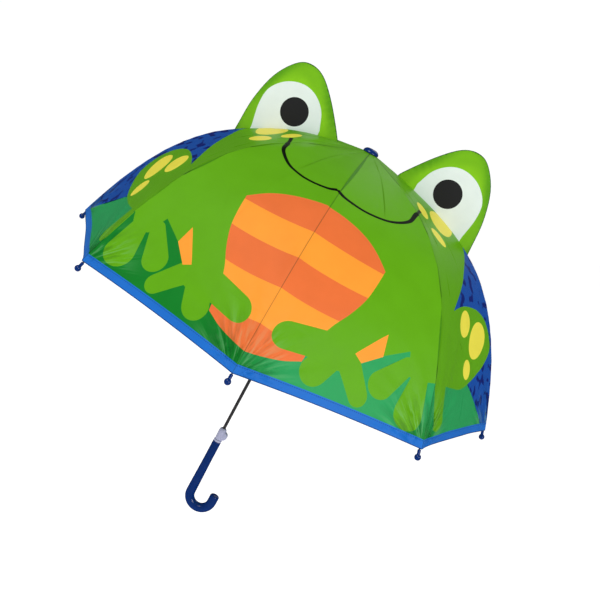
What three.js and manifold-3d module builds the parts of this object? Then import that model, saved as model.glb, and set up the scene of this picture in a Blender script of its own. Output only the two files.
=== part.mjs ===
// Children's umbrella with a frog-face canopy: crook handle, sliding runner and eight folding ribs.
// Millimetres, +Z up along the shaft, origin in the middle of the straight hand grip.
// The frog's face looks towards -Y and the crook curls towards +X. The umbrella stands open.
import * as THREE from "three";
import { mergeVertices } from "three/addons/utils/BufferGeometryUtils.js";
import Module from "manifold-3d";

const wasm = await Module();
wasm.setup();

// ---- Canopy ----
const RIB_COUNT = 8;
const OPEN_RADIUS = 350; // shaft axis to the canopy's corners
const DOME_HEIGHT = 284; // canopy's corners up to its apex
const HEM_Z = 275; // canopy's corners above the middle of the grip
const APEX_SLOPE = 0.198; // fall of the cloth at the apex, radians
const APEX_REACH = 191.6; // how far that slope carries outwards
const HEM_LEAN = 0.371; // lean of the cloth from plumb at a corner, radians
const HEM_REACH = 227.9; // how far that lean carries upwards
const PANEL_DRAW = 1.05; // how far a panel draws in between ribs; 1 is a straight chord
const HEM_LIFT = 2; // rise of the hem between two corners
const CLOTH = 0.9; // thickness of the cloth solids
const SECTOR_ROWS = 16;
const SECTOR_COLUMNS = 4;

// ---- Fits ----
const GAP = 0.3; // between pieces that touch
const SEAM_GAP = 0.2; // half the gap between two neighbouring cloth sectors
const SLIDE_GAP = 0.4; // round the shaft, for the runner
const RIB_GAP = 0.8; // cloth to the rib under it
const CLOTH_HOLE_GAP = 0.8; // round the shaft, in the cloth

// ---- Shaft, crown and cap ----
const SHAFT_R = 2.5;
const SHAFT_WALL = 0.6;
const SHAFT_IN_GRIP = 54; // depth of the shaft's end inside the handle
const SHAFT_PAST_APEX = 2.5; // shaft's end above the cloth's apex, inside the cap
const CROSS_PIN_R = 0.8;
const PIVOT_R = 10; // rib and stretcher pivots from the shaft axis
const CROWN_SINK = 6; // crown's pivots below the cloth over them
const CROWN_R = PIVOT_R + 3;
const CROWN_HALF_HEIGHT = 2.5;
const CROWN_CORE_R = PIVOT_R - 2.7; // inner end of the crown's slots
const CROWN_SLOT = 2.2;
const CROWN_BOSS_R = 5.4;
const CROWN_BOSS_LENGTH = 7.5;
const CROWN_PIN_DROP = 6.5; // crown's cross pin below the rib pivots
const CROWN_WIRE_R = 0.6;
const CROWN_GROOVE_SPARE = 0.4; // groove deeper than the wire needs
const ROSETTE_R = CROWN_R + 1;
const ROSETTE_THICKNESS = 0.6;
const ROSETTE_LIFT = 0.6; // rosette above the crown
const CAP_R = 12;
const CAP_RIM = 0.8;
const CAP_HEIGHT = 5; // apex of the cloth to the cap's flat top
const CAP_FLAT_R = 4;
const CAP_GAP = 0.4;

// ---- Ribs, stretchers and tips ----
const INNER_ROD_R = 1.5;
const OUTER_ROD_R = 1.25;
const STRETCHER_ROD_R = 1.2;
const PIVOT_ALONG = 240; // stretcher's pivot along the rib, from the apex
const INNER_LINE_START = 40; // along the rib, where it has swung out from the crown to the cloth
const TONGUE_R = 2.1; // round end of a rib's flattened eye
const TONGUE_THICKNESS = 1.2;
const CROWN_TONGUE_THICKNESS = 1.4;
const TONGUE_REACH = 9;
const ROD_SETBACK = 6; // rod's end from the pivot that its flattened eye turns on
const CROWN_EYE_R = 1; // hole on the crown's wire
const PIVOT_PIN_R = 0.8;
const PIVOT_HOLE_R = 1.15;
const FORK_EAR_INSIDE = 1.8; // from the rib's plane to an ear's inner face
const FORK_EAR_OUTSIDE = 3;
const FORK_LENGTH = 14;
const FORK_BRIDGE = 3.2;
const T_PIN_R = 0.9; // cross pin on the stretcher's end, in the runner's slot
const T_PIN_LENGTH = 4.4;
const STRETCHER_OVERRUN = 1.4; // rod past its cross pin
const TIP_START = 0.8; // tip's socket past the cloth's corner
const TIP_NECK_R = 2.2;
const TIP_BALL_R = 4.35;
const TIP_BALL_ALONG = 10.5; // ball's centre past the cloth's corner
const ROD_IN_TIP = 6;
const BALL_RINGS = 5;

// ---- Runner and catch ----
const RUNNER_BORE_R = SHAFT_R + SLIDE_GAP;
const SLEEVE_R = 5.6;
const SLEEVE_ABOVE_PIVOT = 4;
const SLEEVE_BELOW_PIVOT = 26;
const SLEEVE_FLANGE_R = 7.7;
const SLEEVE_FLANGE_HEIGHT = 2.4;
const NOTCH_R = PIVOT_R + 3;
const NOTCH_CORE_R = PIVOT_R - 2.4;
const NOTCH_HALF_HEIGHT = 2.6;
const NOTCH_SLOT = 3.2;
const NOTCH_T_SLOT = 5.2;
const NOTCH_T_DEPTH = 2.6;
const CATCH_WIDTH = 1.2;
const CATCH_LEAF = 0.6; // spring leaf's thickness
const CATCH_LEAF_OUT_R = SHAFT_R - SHAFT_WALL - SLIDE_GAP;
const CATCH_REACH = 1.5; // button's reach past the shaft
const CATCH_SLOPE = 8.5; // height of the button's slope
const CATCH_TAIL = 7; // leaf past each end of the button
const STOP_PIN_HALF = 4.2;

// ---- Handle ----
const GRIP_R = 6.65;
const GRIP_TOP_Z = 49;
const CROOK_CENTRE_Z = -46.5;
const CROOK_RADIUS = 19;
const CROOK_END_RISE = 10.5;
const CROOK_END_ROUND = 3;
const CROOK_END_FLAT_R = 3.6;
const CROOK_END_SUNK = 1; // end piece reaches back into the bar
const GRIP_BORE_R = SHAFT_R + GAP;
const GRIP_PIN_Z = 30;
const GRIP_PIN_INSET = 0.6;
const COLLAR_TOP_Z = 76;
const COLLAR_BORE_R = SHAFT_R + GAP;
const COLLAR_R = 5.6;
const COLLAR_TOP_R = 4.2;
const COLLAR_FLANGE_R = 6.5;
const COLLAR_FLANGE_HEIGHT = 3.5;
const COLLAR_SHOULDER = 4;
const LUG_R = 7; // rounded lug on the collar's +X side
const LUG_CENTRE_X = 3.8;
const LUG_CENTRE_Z = 61.5;
const LUG_WIDTH = 7;

// ---- Eyes ----
// Arch of an eye in the plane of a side rib: distance from the shaft as a share of the canopy's
// radius, and height above the cloth's ridge.
const EYE_ARCH = [
  [0.154, 5.1], [0.246, 55.5], [0.326, 90.7], [0.394, 106.0],
  [0.451, 105.1], [0.511, 85.3], [0.546, 49.0], [0.557, 4.4],
];
const EYE_MIDDLE_SHARE = 0.371;
const EYE_BASE_HALF = 3; // half thickness at the cloth
const EYE_RIM_HALF = 0.8; // half thickness at the arch
const EYE_STEPS = 14;
const EYE_WIRE_R = 0.9;

// ---- Closing strap ----
const STRAP_FROM_SEAM = 11; // its middle line from the rear rib's seam
const STRAP_ABOVE_HEM = 24;
const STRAP_LENGTH = 72;
const STRAP_WIDTH = 15;
const STRAP_THICKNESS = 1;
const STRAP_LIFT = 1; // strap above the cloth
const SNAP_R = 5;
const SNAP_HEIGHT = 1.6;
const SNAP_BEVEL = 1;
const SNAP_ALONG = 11; // snap's centre from the strap's upper end

// ---- Derived places ----
const APEX_Z = HEM_Z + DOME_HEIGHT;
const HALF_PANEL = Math.PI / RIB_COUNT;
const HALVINGS = 40; // of the range, when a place on the ridge is looked for
const profile = new THREE.CubicBezierCurve(
  new THREE.Vector2(0, APEX_Z),
  new THREE.Vector2(APEX_REACH * Math.cos(APEX_SLOPE), APEX_Z - APEX_REACH * Math.sin(APEX_SLOPE)),
  new THREE.Vector2(OPEN_RADIUS - HEM_REACH * Math.sin(HEM_LEAN), HEM_Z + HEM_REACH * Math.cos(HEM_LEAN)),
  new THREE.Vector2(OPEN_RADIUS, HEM_Z),
);
profile.arcLengthDivisions = 400;
const RIB_LENGTH = profile.getLength();
const STRAP_START = RIB_LENGTH - STRAP_ABOVE_HEM - STRAP_LENGTH; // along the cloth from the apex
const CLOTH_HOLE_R = SHAFT_R + CLOTH_HOLE_GAP;
const RIB_DROP = CLOTH + RIB_GAP + TONGUE_R;
const crownPivot = new THREE.Vector2(PIVOT_R, APEX_Z - CROWN_SINK - PIVOT_R * Math.tan(APEX_SLOPE));
const ribPivot = onProfile(PIVOT_ALONG, RIB_DROP);
const runnerPivot = new THREE.Vector2(PIVOT_R, 2 * ribPivot.y - crownPivot.y);
const SLEEVE_BOTTOM_Z = runnerPivot.y - SLEEVE_BELOW_PIVOT;
const SLEEVE_TOP_Z = runnerPivot.y + SLEEVE_ABOVE_PIVOT;
const STOP_PIN_Z = SLEEVE_TOP_Z + GAP + CROSS_PIN_R;
const CATCH_TOP_Z = SLEEVE_BOTTOM_Z - GAP;

// Point (distance from the shaft, height) a length along the canopy's profile and a depth under it.
function onProfile(length, depth) {
  const share = Math.min(length / RIB_LENGTH, 1);
  const past = Math.max(length - RIB_LENGTH, 0);
  const point = profile.getPointAt(share);
  const tangent = profile.getTangentAt(share);
  return new THREE.Vector2(
    point.x + tangent.x * past + tangent.y * depth,
    point.y + tangent.y * past - tangent.x * depth,
  );
}

// Point of the cloth: side runs -1 to 1 from one mid-panel line, over the rib on +X, to the next.
function onCloth(side, length, depth) {
  const radiusOnRib = Math.max(onProfile(length, 0).x, CLOTH_HOLE_R);
  const halfAngle = HALF_PANEL - Math.asin(SEAM_GAP / radiusOnRib);
  const angle = side * halfAngle;
  const fromMiddle = HALF_PANEL - Math.abs(angle);
  const slack = 1 - (fromMiddle / HALF_PANEL) ** 2;
  const point = onProfile(length * (1 - (slack * HEM_LIFT) / RIB_LENGTH), depth);
  const draw = 1 - PANEL_DRAW * (1 - Math.cos(HALF_PANEL) / Math.cos(fromMiddle));
  return new THREE.Vector3(point.x * draw * Math.cos(angle), point.x * draw * Math.sin(angle), point.y);
}

// ---- Solid helpers ----
function toSolid(geometry) {
  const bare = geometry.clone();
  bare.deleteAttribute("normal");
  bare.deleteAttribute("uv");
  const merged = mergeVertices(bare, 1e-4);
  return new wasm.Manifold(new wasm.Mesh({
    numProp: 3,
    vertProperties: new Float32Array(merged.attributes.position.array),
    triVerts: new Uint32Array(merged.index.array),
  }));
}

function toGeometry(solid) {
  const mesh = solid.getMesh();
  const geometry = new THREE.BufferGeometry();
  geometry.setAttribute("position", new THREE.BufferAttribute(mesh.vertProperties, 3));
  geometry.setIndex(new THREE.BufferAttribute(mesh.triVerts, 1));
  geometry.computeVertexNormals();
  return geometry;
}

function join(geometries) {
  return toGeometry(geometries.map(toSolid).reduce((whole, piece) => whole.add(piece)));
}

function cut(geometry, tools) {
  return toGeometry(tools.map(toSolid).reduce((whole, tool) => whole.subtract(tool), toSolid(geometry)));
}

// Turned body about Z from [radius, height] points.
function turned(points, sides) {
  return new THREE.LatheGeometry(points.map(([r, z]) => new THREE.Vector2(r, z)), sides).rotateX(Math.PI / 2);
}

// Turned ring or sleeve: the outline closes on itself.
function turnedRing(points, sides) {
  return turned([...points, points[0]], sides);
}

// Cylinder along Y, centred on (x, 0, z).
function crossPin(radius, length, x, z, sides = 10) {
  return new THREE.CylinderGeometry(radius, radius, length, sides).translate(x, 0, z);
}

// Flat plate in the XZ plane between two offsets in Y.
function plate(shape, yLow, yHigh, arcSteps = 4) {
  const options = { depth: yHigh - yLow, bevelEnabled: false, curveSegments: arcSteps };
  return new THREE.ExtrudeGeometry(shape, options).rotateX(Math.PI / 2).translate(0, yHigh, 0);
}

// Round rod through [distance, height] points in the XZ plane.
function rod(points, radius, sides = 6) {
  const path = new THREE.CatmullRomCurve3(points.map(({ x, y }) => new THREE.Vector3(x, 0, y)));
  const section = new THREE.Shape().absarc(0, 0, radius, 0, 2 * Math.PI);
  return new THREE.ExtrudeGeometry(section, {
    steps: points.length - 1,
    curveSegments: sides / 2,
    bevelEnabled: false,
    extrudePath: path,
  });
}

// Flattened eye: a plate with a round end on a pivot, reaching from it towards another point.
function eyePlate(pivot, towards, reach, endRadius, holeRadius, yLow, yHigh) {
  const outline = new THREE.Shape();
  outline.absarc(0, 0, endRadius, Math.PI / 2, 1.5 * Math.PI);
  outline.lineTo(reach, -endRadius);
  outline.lineTo(reach, endRadius);
  outline.closePath();
  if (holeRadius > 0) {
    outline.holes.push(new THREE.Path().absarc(0, 0, holeRadius, 0, 2 * Math.PI));
  }
  const angle = Math.atan2(towards.y - pivot.y, towards.x - pivot.x);
  return plate(outline, yLow, yHigh).rotateY(-angle).translate(pivot.x, 0, pivot.y);
}

// Box that bends: each corner (x, y from 0 to 1, z from 0 to 1) goes where the function says.
function bentBox(columns, rows, place) {
  const box = new THREE.BoxGeometry(2, 1, 1, columns, rows, 1).translate(0, 0.5, 0.5);
  const position = box.attributes.position;
  for (let i = 0; i < position.count; i += 1) {
    const point = place(position.getX(i), position.getY(i), position.getZ(i));
    position.setXYZ(i, point.x, point.y, point.z);
  }
  return box;
}

// Points of a 2-D path between two lengths along it.
function stretchOf(path, start, end, steps) {
  const total = path.getLength();
  return Array.from({ length: steps + 1 }, (_, i) =>
    path.getPointAt((start + ((end - start) * i) / steps) / total));
}

// ---- Shaft and handle ----
function shaftTube() {
  const bottom = GRIP_TOP_Z - SHAFT_IN_GRIP;
  const top = APEX_Z + SHAFT_PAST_APEX;
  const inside = SHAFT_R - SHAFT_WALL;
  const tube = turnedRing([[inside, bottom], [SHAFT_R, bottom], [SHAFT_R, top], [inside, top]], 16);
  const windowHeight = CATCH_SLOPE + 2 * GAP;
  const window = new THREE.BoxGeometry(SHAFT_R, CATCH_WIDTH + 2 * GAP, windowHeight)
    .translate(inside / 2 + SHAFT_R / 2, 0, CATCH_TOP_Z + GAP - windowHeight / 2);
  const pinHeights = [GRIP_PIN_Z, STOP_PIN_Z, crownPivot.y - CROWN_PIN_DROP];
  const holes = pinHeights.map((z) => crossPin(CROSS_PIN_R + GAP, 4 * SHAFT_R, 0, z, 8));
  return cut(tube, [window, ...holes]);
}

function handleGrip() {
  const path = new THREE.CurvePath();
  const crookBottom = new THREE.Vector2(0, CROOK_CENTRE_Z);
  path.add(new THREE.LineCurve(new THREE.Vector2(0, GRIP_TOP_Z), crookBottom));
  path.add(new THREE.EllipseCurve(
    CROOK_RADIUS, CROOK_CENTRE_Z, CROOK_RADIUS, CROOK_RADIUS, Math.PI, 2 * Math.PI,
  ));
  const endX = 2 * CROOK_RADIUS;
  const endZ = CROOK_CENTRE_Z + CROOK_END_RISE;
  path.add(new THREE.LineCurve(new THREE.Vector2(endX, CROOK_CENTRE_Z), new THREE.Vector2(endX, endZ)));
  const bar = rod(stretchOf(path, 0, path.getLength(), 32), GRIP_R, 12);
  const end = turned([
    [0, endZ - CROOK_END_SUNK],
    [GRIP_R - GAP, endZ - CROOK_END_SUNK],
    [GRIP_R - GAP, endZ],
    [(GRIP_R + CROOK_END_FLAT_R) / 2, endZ + 0.75 * CROOK_END_ROUND],
    [CROOK_END_FLAT_R, endZ + CROOK_END_ROUND],
    [0, endZ + CROOK_END_ROUND],
  ], 12).translate(endX, 0, 0);
  const boreDepth = SHAFT_IN_GRIP + 2 * GAP;
  const bore = new THREE.CylinderGeometry(GRIP_BORE_R, GRIP_BORE_R, 2 * boreDepth, 16)
    .rotateX(Math.PI / 2).translate(0, 0, GRIP_TOP_Z);
  const pinHole = crossPin(CROSS_PIN_R + GAP, 4 * GRIP_R, 0, GRIP_PIN_Z, 8);
  return cut(join([bar, end]), [bore, pinHole]);
}

function handleCollar() {
  const bottom = GRIP_TOP_Z + GAP;
  const body = turned([
    [0, bottom],
    [COLLAR_FLANGE_R, bottom],
    [COLLAR_FLANGE_R, bottom + COLLAR_FLANGE_HEIGHT],
    [COLLAR_R, bottom + COLLAR_FLANGE_HEIGHT + 1],
    [COLLAR_R, COLLAR_TOP_Z - COLLAR_SHOULDER],
    [COLLAR_TOP_R, COLLAR_TOP_Z],
    [0, COLLAR_TOP_Z],
  ], 20);
  const lug = crossPin(LUG_R, LUG_WIDTH, LUG_CENTRE_X, LUG_CENTRE_Z, 20);
  const bore = new THREE.CylinderGeometry(COLLAR_BORE_R, COLLAR_BORE_R, 2 * (COLLAR_TOP_Z - bottom), 16)
    .rotateX(Math.PI / 2).translate(0, 0, (COLLAR_TOP_Z + bottom) / 2);
  return cut(join([body, lug]), [bore]);
}

// ---- Crown and cap ----
function slotRing(outerRadius, innerEnd, width, height, z) {
  return Array.from({ length: RIB_COUNT }, (_, k) => {
    const length = outerRadius - innerEnd + 1;
    return new THREE.BoxGeometry(length, width, height)
      .translate(innerEnd + length / 2, 0, z)
      .rotateZ((2 * Math.PI * k) / RIB_COUNT);
  });
}

function crownNotch() {
  const z = crownPivot.y;
  const wireRoom = CROWN_WIRE_R + GAP;
  const grooveR = PIVOT_R - wireRoom - CROWN_GROOVE_SPARE;
  const boreR = SHAFT_R + GAP;
  const body = turnedRing([
    [boreR, z - CROWN_HALF_HEIGHT - CROWN_BOSS_LENGTH],
    [CROWN_BOSS_R, z - CROWN_HALF_HEIGHT - CROWN_BOSS_LENGTH],
    [CROWN_BOSS_R, z - CROWN_HALF_HEIGHT],
    [CROWN_R, z - CROWN_HALF_HEIGHT],
    [CROWN_R, z - wireRoom],
    [grooveR, z - wireRoom],
    [grooveR, z + wireRoom],
    [CROWN_R, z + wireRoom],
    [CROWN_R, z + CROWN_HALF_HEIGHT],
    [boreR, z + CROWN_HALF_HEIGHT],
  ], 24);
  const slots = slotRing(CROWN_R, CROWN_CORE_R, CROWN_SLOT, 4 * CROWN_HALF_HEIGHT, z);
  const pinHole = crossPin(CROSS_PIN_R + GAP, 4 * CROWN_BOSS_R, 0, z - CROWN_PIN_DROP, 8);
  return cut(body, [...slots, pinHole]);
}

function crownRosette() {
  const low = crownPivot.y + CROWN_HALF_HEIGHT + ROSETTE_LIFT;
  const high = low + ROSETTE_THICKNESS;
  const boreR = SHAFT_R + GAP;
  return turnedRing([[boreR, low], [ROSETTE_R, low], [ROSETTE_R, high], [boreR, high]], 24);
}

function topCap() {
  const boreR = SHAFT_R + GAP;
  const seat = (r) => APEX_Z + CAP_GAP - r * Math.tan(APEX_SLOPE);
  const rimZ = seat(CAP_R) + CAP_RIM;
  const topZ = APEX_Z + CAP_HEIGHT;
  const shoulder = 5;
  const dome = Array.from({ length: shoulder + 1 }, (_, i) => {
    const turn = ((Math.PI / 2) * i) / shoulder;
    return [CAP_FLAT_R + (CAP_R - CAP_FLAT_R) * Math.cos(turn), rimZ + (topZ - rimZ) * Math.sin(turn)];
  });
  const boreTop = APEX_Z + SHAFT_PAST_APEX + GAP;
  return turned([
    [0, boreTop],
    [boreR, boreTop],
    [boreR, seat(boreR)],
    [CAP_R, seat(CAP_R)],
    ...dome,
    [0, topZ],
  ], 24);
}

// ---- Runner and catch ----
function runnerSleeve() {
  const flangeTop = SLEEVE_BOTTOM_Z + SLEEVE_FLANGE_HEIGHT;
  const body = turnedRing([
    [RUNNER_BORE_R, SLEEVE_BOTTOM_Z],
    [SLEEVE_FLANGE_R, SLEEVE_BOTTOM_Z],
    [SLEEVE_FLANGE_R, flangeTop],
    [SLEEVE_R, flangeTop + 1],
    [SLEEVE_R, SLEEVE_TOP_Z],
    [RUNNER_BORE_R, SLEEVE_TOP_Z],
  ], 20);
  const channelDepth = SHAFT_R + CATCH_REACH + GAP;
  const channel = new THREE.BoxGeometry(channelDepth, CATCH_WIDTH + 2 * GAP, 3 * SLEEVE_BELOW_PIVOT)
    .translate(channelDepth / 2, 0, runnerPivot.y);
  return cut(body, [channel]);
}

function runnerNotch() {
  const z = runnerPivot.y;
  const innerR = SLEEVE_R + GAP;
  const low = z - NOTCH_HALF_HEIGHT;
  const high = z + NOTCH_HALF_HEIGHT;
  const body = turnedRing([[innerR, low], [NOTCH_R, low], [NOTCH_R, high], [innerR, high]], 24);
  const slots = slotRing(NOTCH_R, NOTCH_CORE_R, NOTCH_SLOT, 4 * NOTCH_HALF_HEIGHT, z);
  const pinSlots = Array.from({ length: RIB_COUNT }, (_, k) =>
    new THREE.BoxGeometry(NOTCH_T_DEPTH, NOTCH_T_SLOT, 4 * NOTCH_HALF_HEIGHT)
      .translate(PIVOT_R, 0, z)
      .rotateZ((2 * Math.PI * k) / RIB_COUNT));
  return cut(body, [...slots, ...pinSlots]);
}

function topCatch() {
  const leafIn = CATCH_LEAF_OUT_R - CATCH_LEAF;
  const outline = new THREE.Shape([
    new THREE.Vector2(leafIn, CATCH_TOP_Z - CATCH_SLOPE - CATCH_TAIL),
    new THREE.Vector2(CATCH_LEAF_OUT_R, CATCH_TOP_Z - CATCH_SLOPE - CATCH_TAIL),
    new THREE.Vector2(CATCH_LEAF_OUT_R, CATCH_TOP_Z - CATCH_SLOPE),
    new THREE.Vector2(SHAFT_R + CATCH_REACH, CATCH_TOP_Z - CATCH_LEAF),
    new THREE.Vector2(SHAFT_R + CATCH_REACH, CATCH_TOP_Z),
    new THREE.Vector2(CATCH_LEAF_OUT_R, CATCH_TOP_Z),
    new THREE.Vector2(CATCH_LEAF_OUT_R, CATCH_TOP_Z + CATCH_TAIL),
    new THREE.Vector2(leafIn, CATCH_TOP_Z + CATCH_TAIL),
  ]);
  return plate(outline, -CATCH_WIDTH / 2, CATCH_WIDTH / 2);
}

// ---- Rib assembly on +X; copies are turned about the shaft ----
const innerLine = new THREE.SplineCurve([
  crownPivot,
  ...Array.from({ length: 7 }, (_, i) =>
    onProfile(INNER_LINE_START + ((PIVOT_ALONG - INNER_LINE_START) * i) / 6, RIB_DROP)),
]);
const innerLineLength = innerLine.getLength();

function ribInner() {
  const line = stretchOf(innerLine, ROD_SETBACK, innerLineLength - ROD_SETBACK, 9);
  const half = CROWN_TONGUE_THICKNESS / 2;
  const atCrown = eyePlate(crownPivot, line[0], TONGUE_REACH, TONGUE_R, CROWN_EYE_R, -half, half);
  const low = -GAP / 2 - TONGUE_THICKNESS;
  const atPivot = eyePlate(ribPivot, line.at(-1), TONGUE_REACH, TONGUE_R, PIVOT_HOLE_R, low, -GAP / 2);
  return join([rod(line, INNER_ROD_R), atCrown, atPivot]);
}

function ribOuter() {
  const first = PIVOT_ALONG + ROD_SETBACK;
  const last = RIB_LENGTH + ROD_IN_TIP;
  const line = Array.from({ length: 11 }, (_, i) => onProfile(first + ((last - first) * i) / 10, RIB_DROP));
  const high = GAP / 2 + TONGUE_THICKNESS;
  const atPivot = eyePlate(ribPivot, line[0], TONGUE_REACH, TONGUE_R, PIVOT_HOLE_R, GAP / 2, high);
  return join([rod(line, OUTER_ROD_R), atPivot]);
}

function stretcher() {
  const along = runnerPivot.clone().sub(ribPivot).normalize();
  const from = ribPivot.clone().addScaledVector(along, FORK_LENGTH - FORK_BRIDGE);
  const to = runnerPivot.clone().addScaledVector(along, STRETCHER_OVERRUN);
  const ear = (low, high) => eyePlate(ribPivot, runnerPivot, FORK_LENGTH, INNER_ROD_R, 0, low, high);
  const bridgeMiddle = ribPivot.clone().addScaledVector(along, FORK_LENGTH - FORK_BRIDGE / 2);
  const bridge = new THREE.BoxGeometry(FORK_BRIDGE, 2 * FORK_EAR_OUTSIDE, 2 * INNER_ROD_R)
    .rotateY(-Math.atan2(along.y, along.x)).translate(bridgeMiddle.x, 0, bridgeMiddle.y);
  return join([
    rod([from, to], STRETCHER_ROD_R),
    ear(FORK_EAR_INSIDE, FORK_EAR_OUTSIDE),
    ear(-FORK_EAR_OUTSIDE, -FORK_EAR_INSIDE),
    bridge,
    crossPin(PIVOT_PIN_R, 2 * FORK_EAR_OUTSIDE - GAP, ribPivot.x, ribPivot.y, 8),
    crossPin(T_PIN_R, T_PIN_LENGTH, runnerPivot.x, runnerPivot.y, 8),
  ]);
}

// Ball-ended tip, turned about the rib's last straight stretch.
function ribTip() {
  const boreR = OUTER_ROD_R + GAP;
  const neckEnd = TIP_BALL_ALONG - Math.sqrt(TIP_BALL_R ** 2 - TIP_NECK_R ** 2);
  const start = Math.asin(TIP_NECK_R / TIP_BALL_R);
  const ball = Array.from({ length: BALL_RINGS + 1 }, (_, i) => {
    const turn = start + ((Math.PI - start) * i) / BALL_RINGS;
    return [TIP_BALL_R * Math.sin(turn), TIP_BALL_ALONG - TIP_BALL_R * Math.cos(turn)];
  });
  ball[BALL_RINGS][0] = 0;
  const boreEnd = ROD_IN_TIP + GAP;
  const body = turned([
    [0, boreEnd],
    [boreR, boreEnd],
    [boreR, TIP_START],
    [TIP_NECK_R, TIP_START],
    [TIP_NECK_R, (TIP_START + neckEnd) / 2],
    ...ball,
  ], 10);
  const corner = onProfile(RIB_LENGTH, RIB_DROP);
  return body.rotateY(Math.PI - HEM_LEAN).translate(corner.x, 0, corner.y);
}

function canopySector() {
  const first = CLOTH_HOLE_R;
  return bentBox(SECTOR_COLUMNS, SECTOR_ROWS, (side, share, layer) =>
    onCloth(-side, first + (RIB_LENGTH - first) * share, (1 - layer) * CLOTH));
}

// ---- Eyes, standing on the side ribs ----
const eyeArch = new THREE.SplineCurve(EYE_ARCH.map(([share, rise]) =>
  onRidge(share * OPEN_RADIUS).add(new THREE.Vector2(0, rise))));

// Point of the cloth's ridge at a distance from the shaft.
function onRidge(wanted) {
  let low = 0;
  let high = RIB_LENGTH;
  for (let i = 0; i < HALVINGS; i += 1) {
    const middle = (low + high) / 2;
    if (onProfile(middle, 0).x < wanted) {
      low = middle;
    } else {
      high = middle;
    }
  }
  return onProfile(low, 0);
}

function eyeCloth() {
  return bentBox(EYE_STEPS, 4, (x, y, z) => {
    const share = (x + 1) / 2;
    const top = eyeArch.getPointAt(share);
    const foot = EYE_ARCH[0][0] + (EYE_ARCH.at(-1)[0] - EYE_ARCH[0][0]) * share;
    const base = onRidge(foot * OPEN_RADIUS).add(new THREE.Vector2(0, CAP_GAP));
    const rise = base.lerp(top, y);
    const half = EYE_BASE_HALF + (EYE_RIM_HALF - EYE_BASE_HALF) * y;
    return new THREE.Vector3(rise.x, (1 - 2 * z) * half, rise.y);
  });
}

function eyeWire() {
  const steps = 16;
  const centre = new THREE.Vector2(EYE_MIDDLE_SHARE * OPEN_RADIUS, APEX_Z);
  const points = stretchOf(eyeArch, 0, eyeArch.getLength(), steps);
  const outset = 2 * EYE_WIRE_R + GAP;
  return rod(points.map((point) => {
    const outward = point.clone().sub(centre).normalize();
    return outward.multiplyScalar(outset).add(point);
  }), EYE_WIRE_R);
}

// ---- Closing strap, laid on the cloth beside the rear rib ----
function onStrap(across, along, height) {
  const length = STRAP_START + along;
  const angle = (STRAP_FROM_SEAM + across) / onProfile(length, 0).x;
  return onCloth(angle / HALF_PANEL, length, -height);
}

function closingStrap() {
  return bentBox(1, 5, (x, y, z) =>
    onStrap((-x * STRAP_WIDTH) / 2, y * STRAP_LENGTH, STRAP_LIFT + z * STRAP_THICKNESS));
}

function strapSnap() {
  const seat = STRAP_LIFT + STRAP_THICKNESS;
  const centre = onStrap(0, SNAP_ALONG, seat);
  const across = onStrap(SNAP_R, SNAP_ALONG, seat).sub(onStrap(-SNAP_R, SNAP_ALONG, seat));
  const along = onStrap(0, SNAP_ALONG + SNAP_R, seat).sub(onStrap(0, SNAP_ALONG - SNAP_R, seat));
  const outward = across.cross(along).normalize().negate();
  const turn = new THREE.Quaternion().setFromUnitVectors(new THREE.Vector3(0, 1, 0), outward);
  const middle = centre.addScaledVector(outward, 2 * GAP + SNAP_HEIGHT / 2);
  return new THREE.CylinderGeometry(SNAP_R - SNAP_BEVEL, SNAP_R, SNAP_HEIGHT, 16)
    .applyQuaternion(turn).translate(...middle.toArray());
}

// ---- Materials and assembly ----
const LOOKS = {
  canopy: { color: 0x5faa05, roughness: 0.6, metalness: 0 },
  eye: { color: 0x82c314, roughness: 0.6, metalness: 0 },
  eyeEdge: { color: 0x2f7a00, roughness: 0.7, metalness: 0 },
  navyPlastic: { color: 0x02306e, roughness: 0.25, metalness: 0 },
  greyPlastic: { color: 0xafafcd, roughness: 0.4, metalness: 0 },
  blackPlastic: { color: 0x1d1d20, roughness: 0.5, metalness: 0 },
  darkSteel: { color: 0x4a4a50, roughness: 0.35, metalness: 0.9 },
  steel: { color: 0x9a9ca0, roughness: 0.35, metalness: 0.9 },
  strap: { color: 0x0f5faf, roughness: 0.8, metalness: 0 },
};

const umbrella = new THREE.Group();

function add(group, name, geometry, look) {
  const mesh = new THREE.Mesh(geometry, new THREE.MeshStandardMaterial(LOOKS[look]));
  mesh.name = name;
  group.add(mesh);
}

add(umbrella, "shaft_tube", shaftTube(), "darkSteel");
add(umbrella, "handle_grip", handleGrip(), "navyPlastic");
add(umbrella, "handle_collar", handleCollar(), "greyPlastic");
add(umbrella, "handle_pin", crossPin(CROSS_PIN_R, 2 * (GRIP_R - GRIP_PIN_INSET), 0, GRIP_PIN_Z), "steel");
add(umbrella, "stop_pin", crossPin(CROSS_PIN_R, 2 * STOP_PIN_HALF, 0, STOP_PIN_Z), "steel");
add(umbrella, "crown_notch", crownNotch(), "blackPlastic");
const crownWire = new THREE.TorusGeometry(PIVOT_R, CROWN_WIRE_R, 5, 24);
add(umbrella, "crown_wire", crownWire.translate(0, 0, crownPivot.y), "steel");
const crownPinLength = 2 * (CROWN_BOSS_R - GAP);
add(umbrella, "crown_pin", crossPin(CROSS_PIN_R, crownPinLength, 0, crownPivot.y - CROWN_PIN_DROP), "steel");
add(umbrella, "crown_rosette", crownRosette(), "strap");
add(umbrella, "top_cap", topCap(), "navyPlastic");
add(umbrella, "runner_sleeve", runnerSleeve(), "blackPlastic");
add(umbrella, "runner_notch", runnerNotch(), "blackPlastic");
add(umbrella, "top_catch", topCatch(), "steel");

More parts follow.
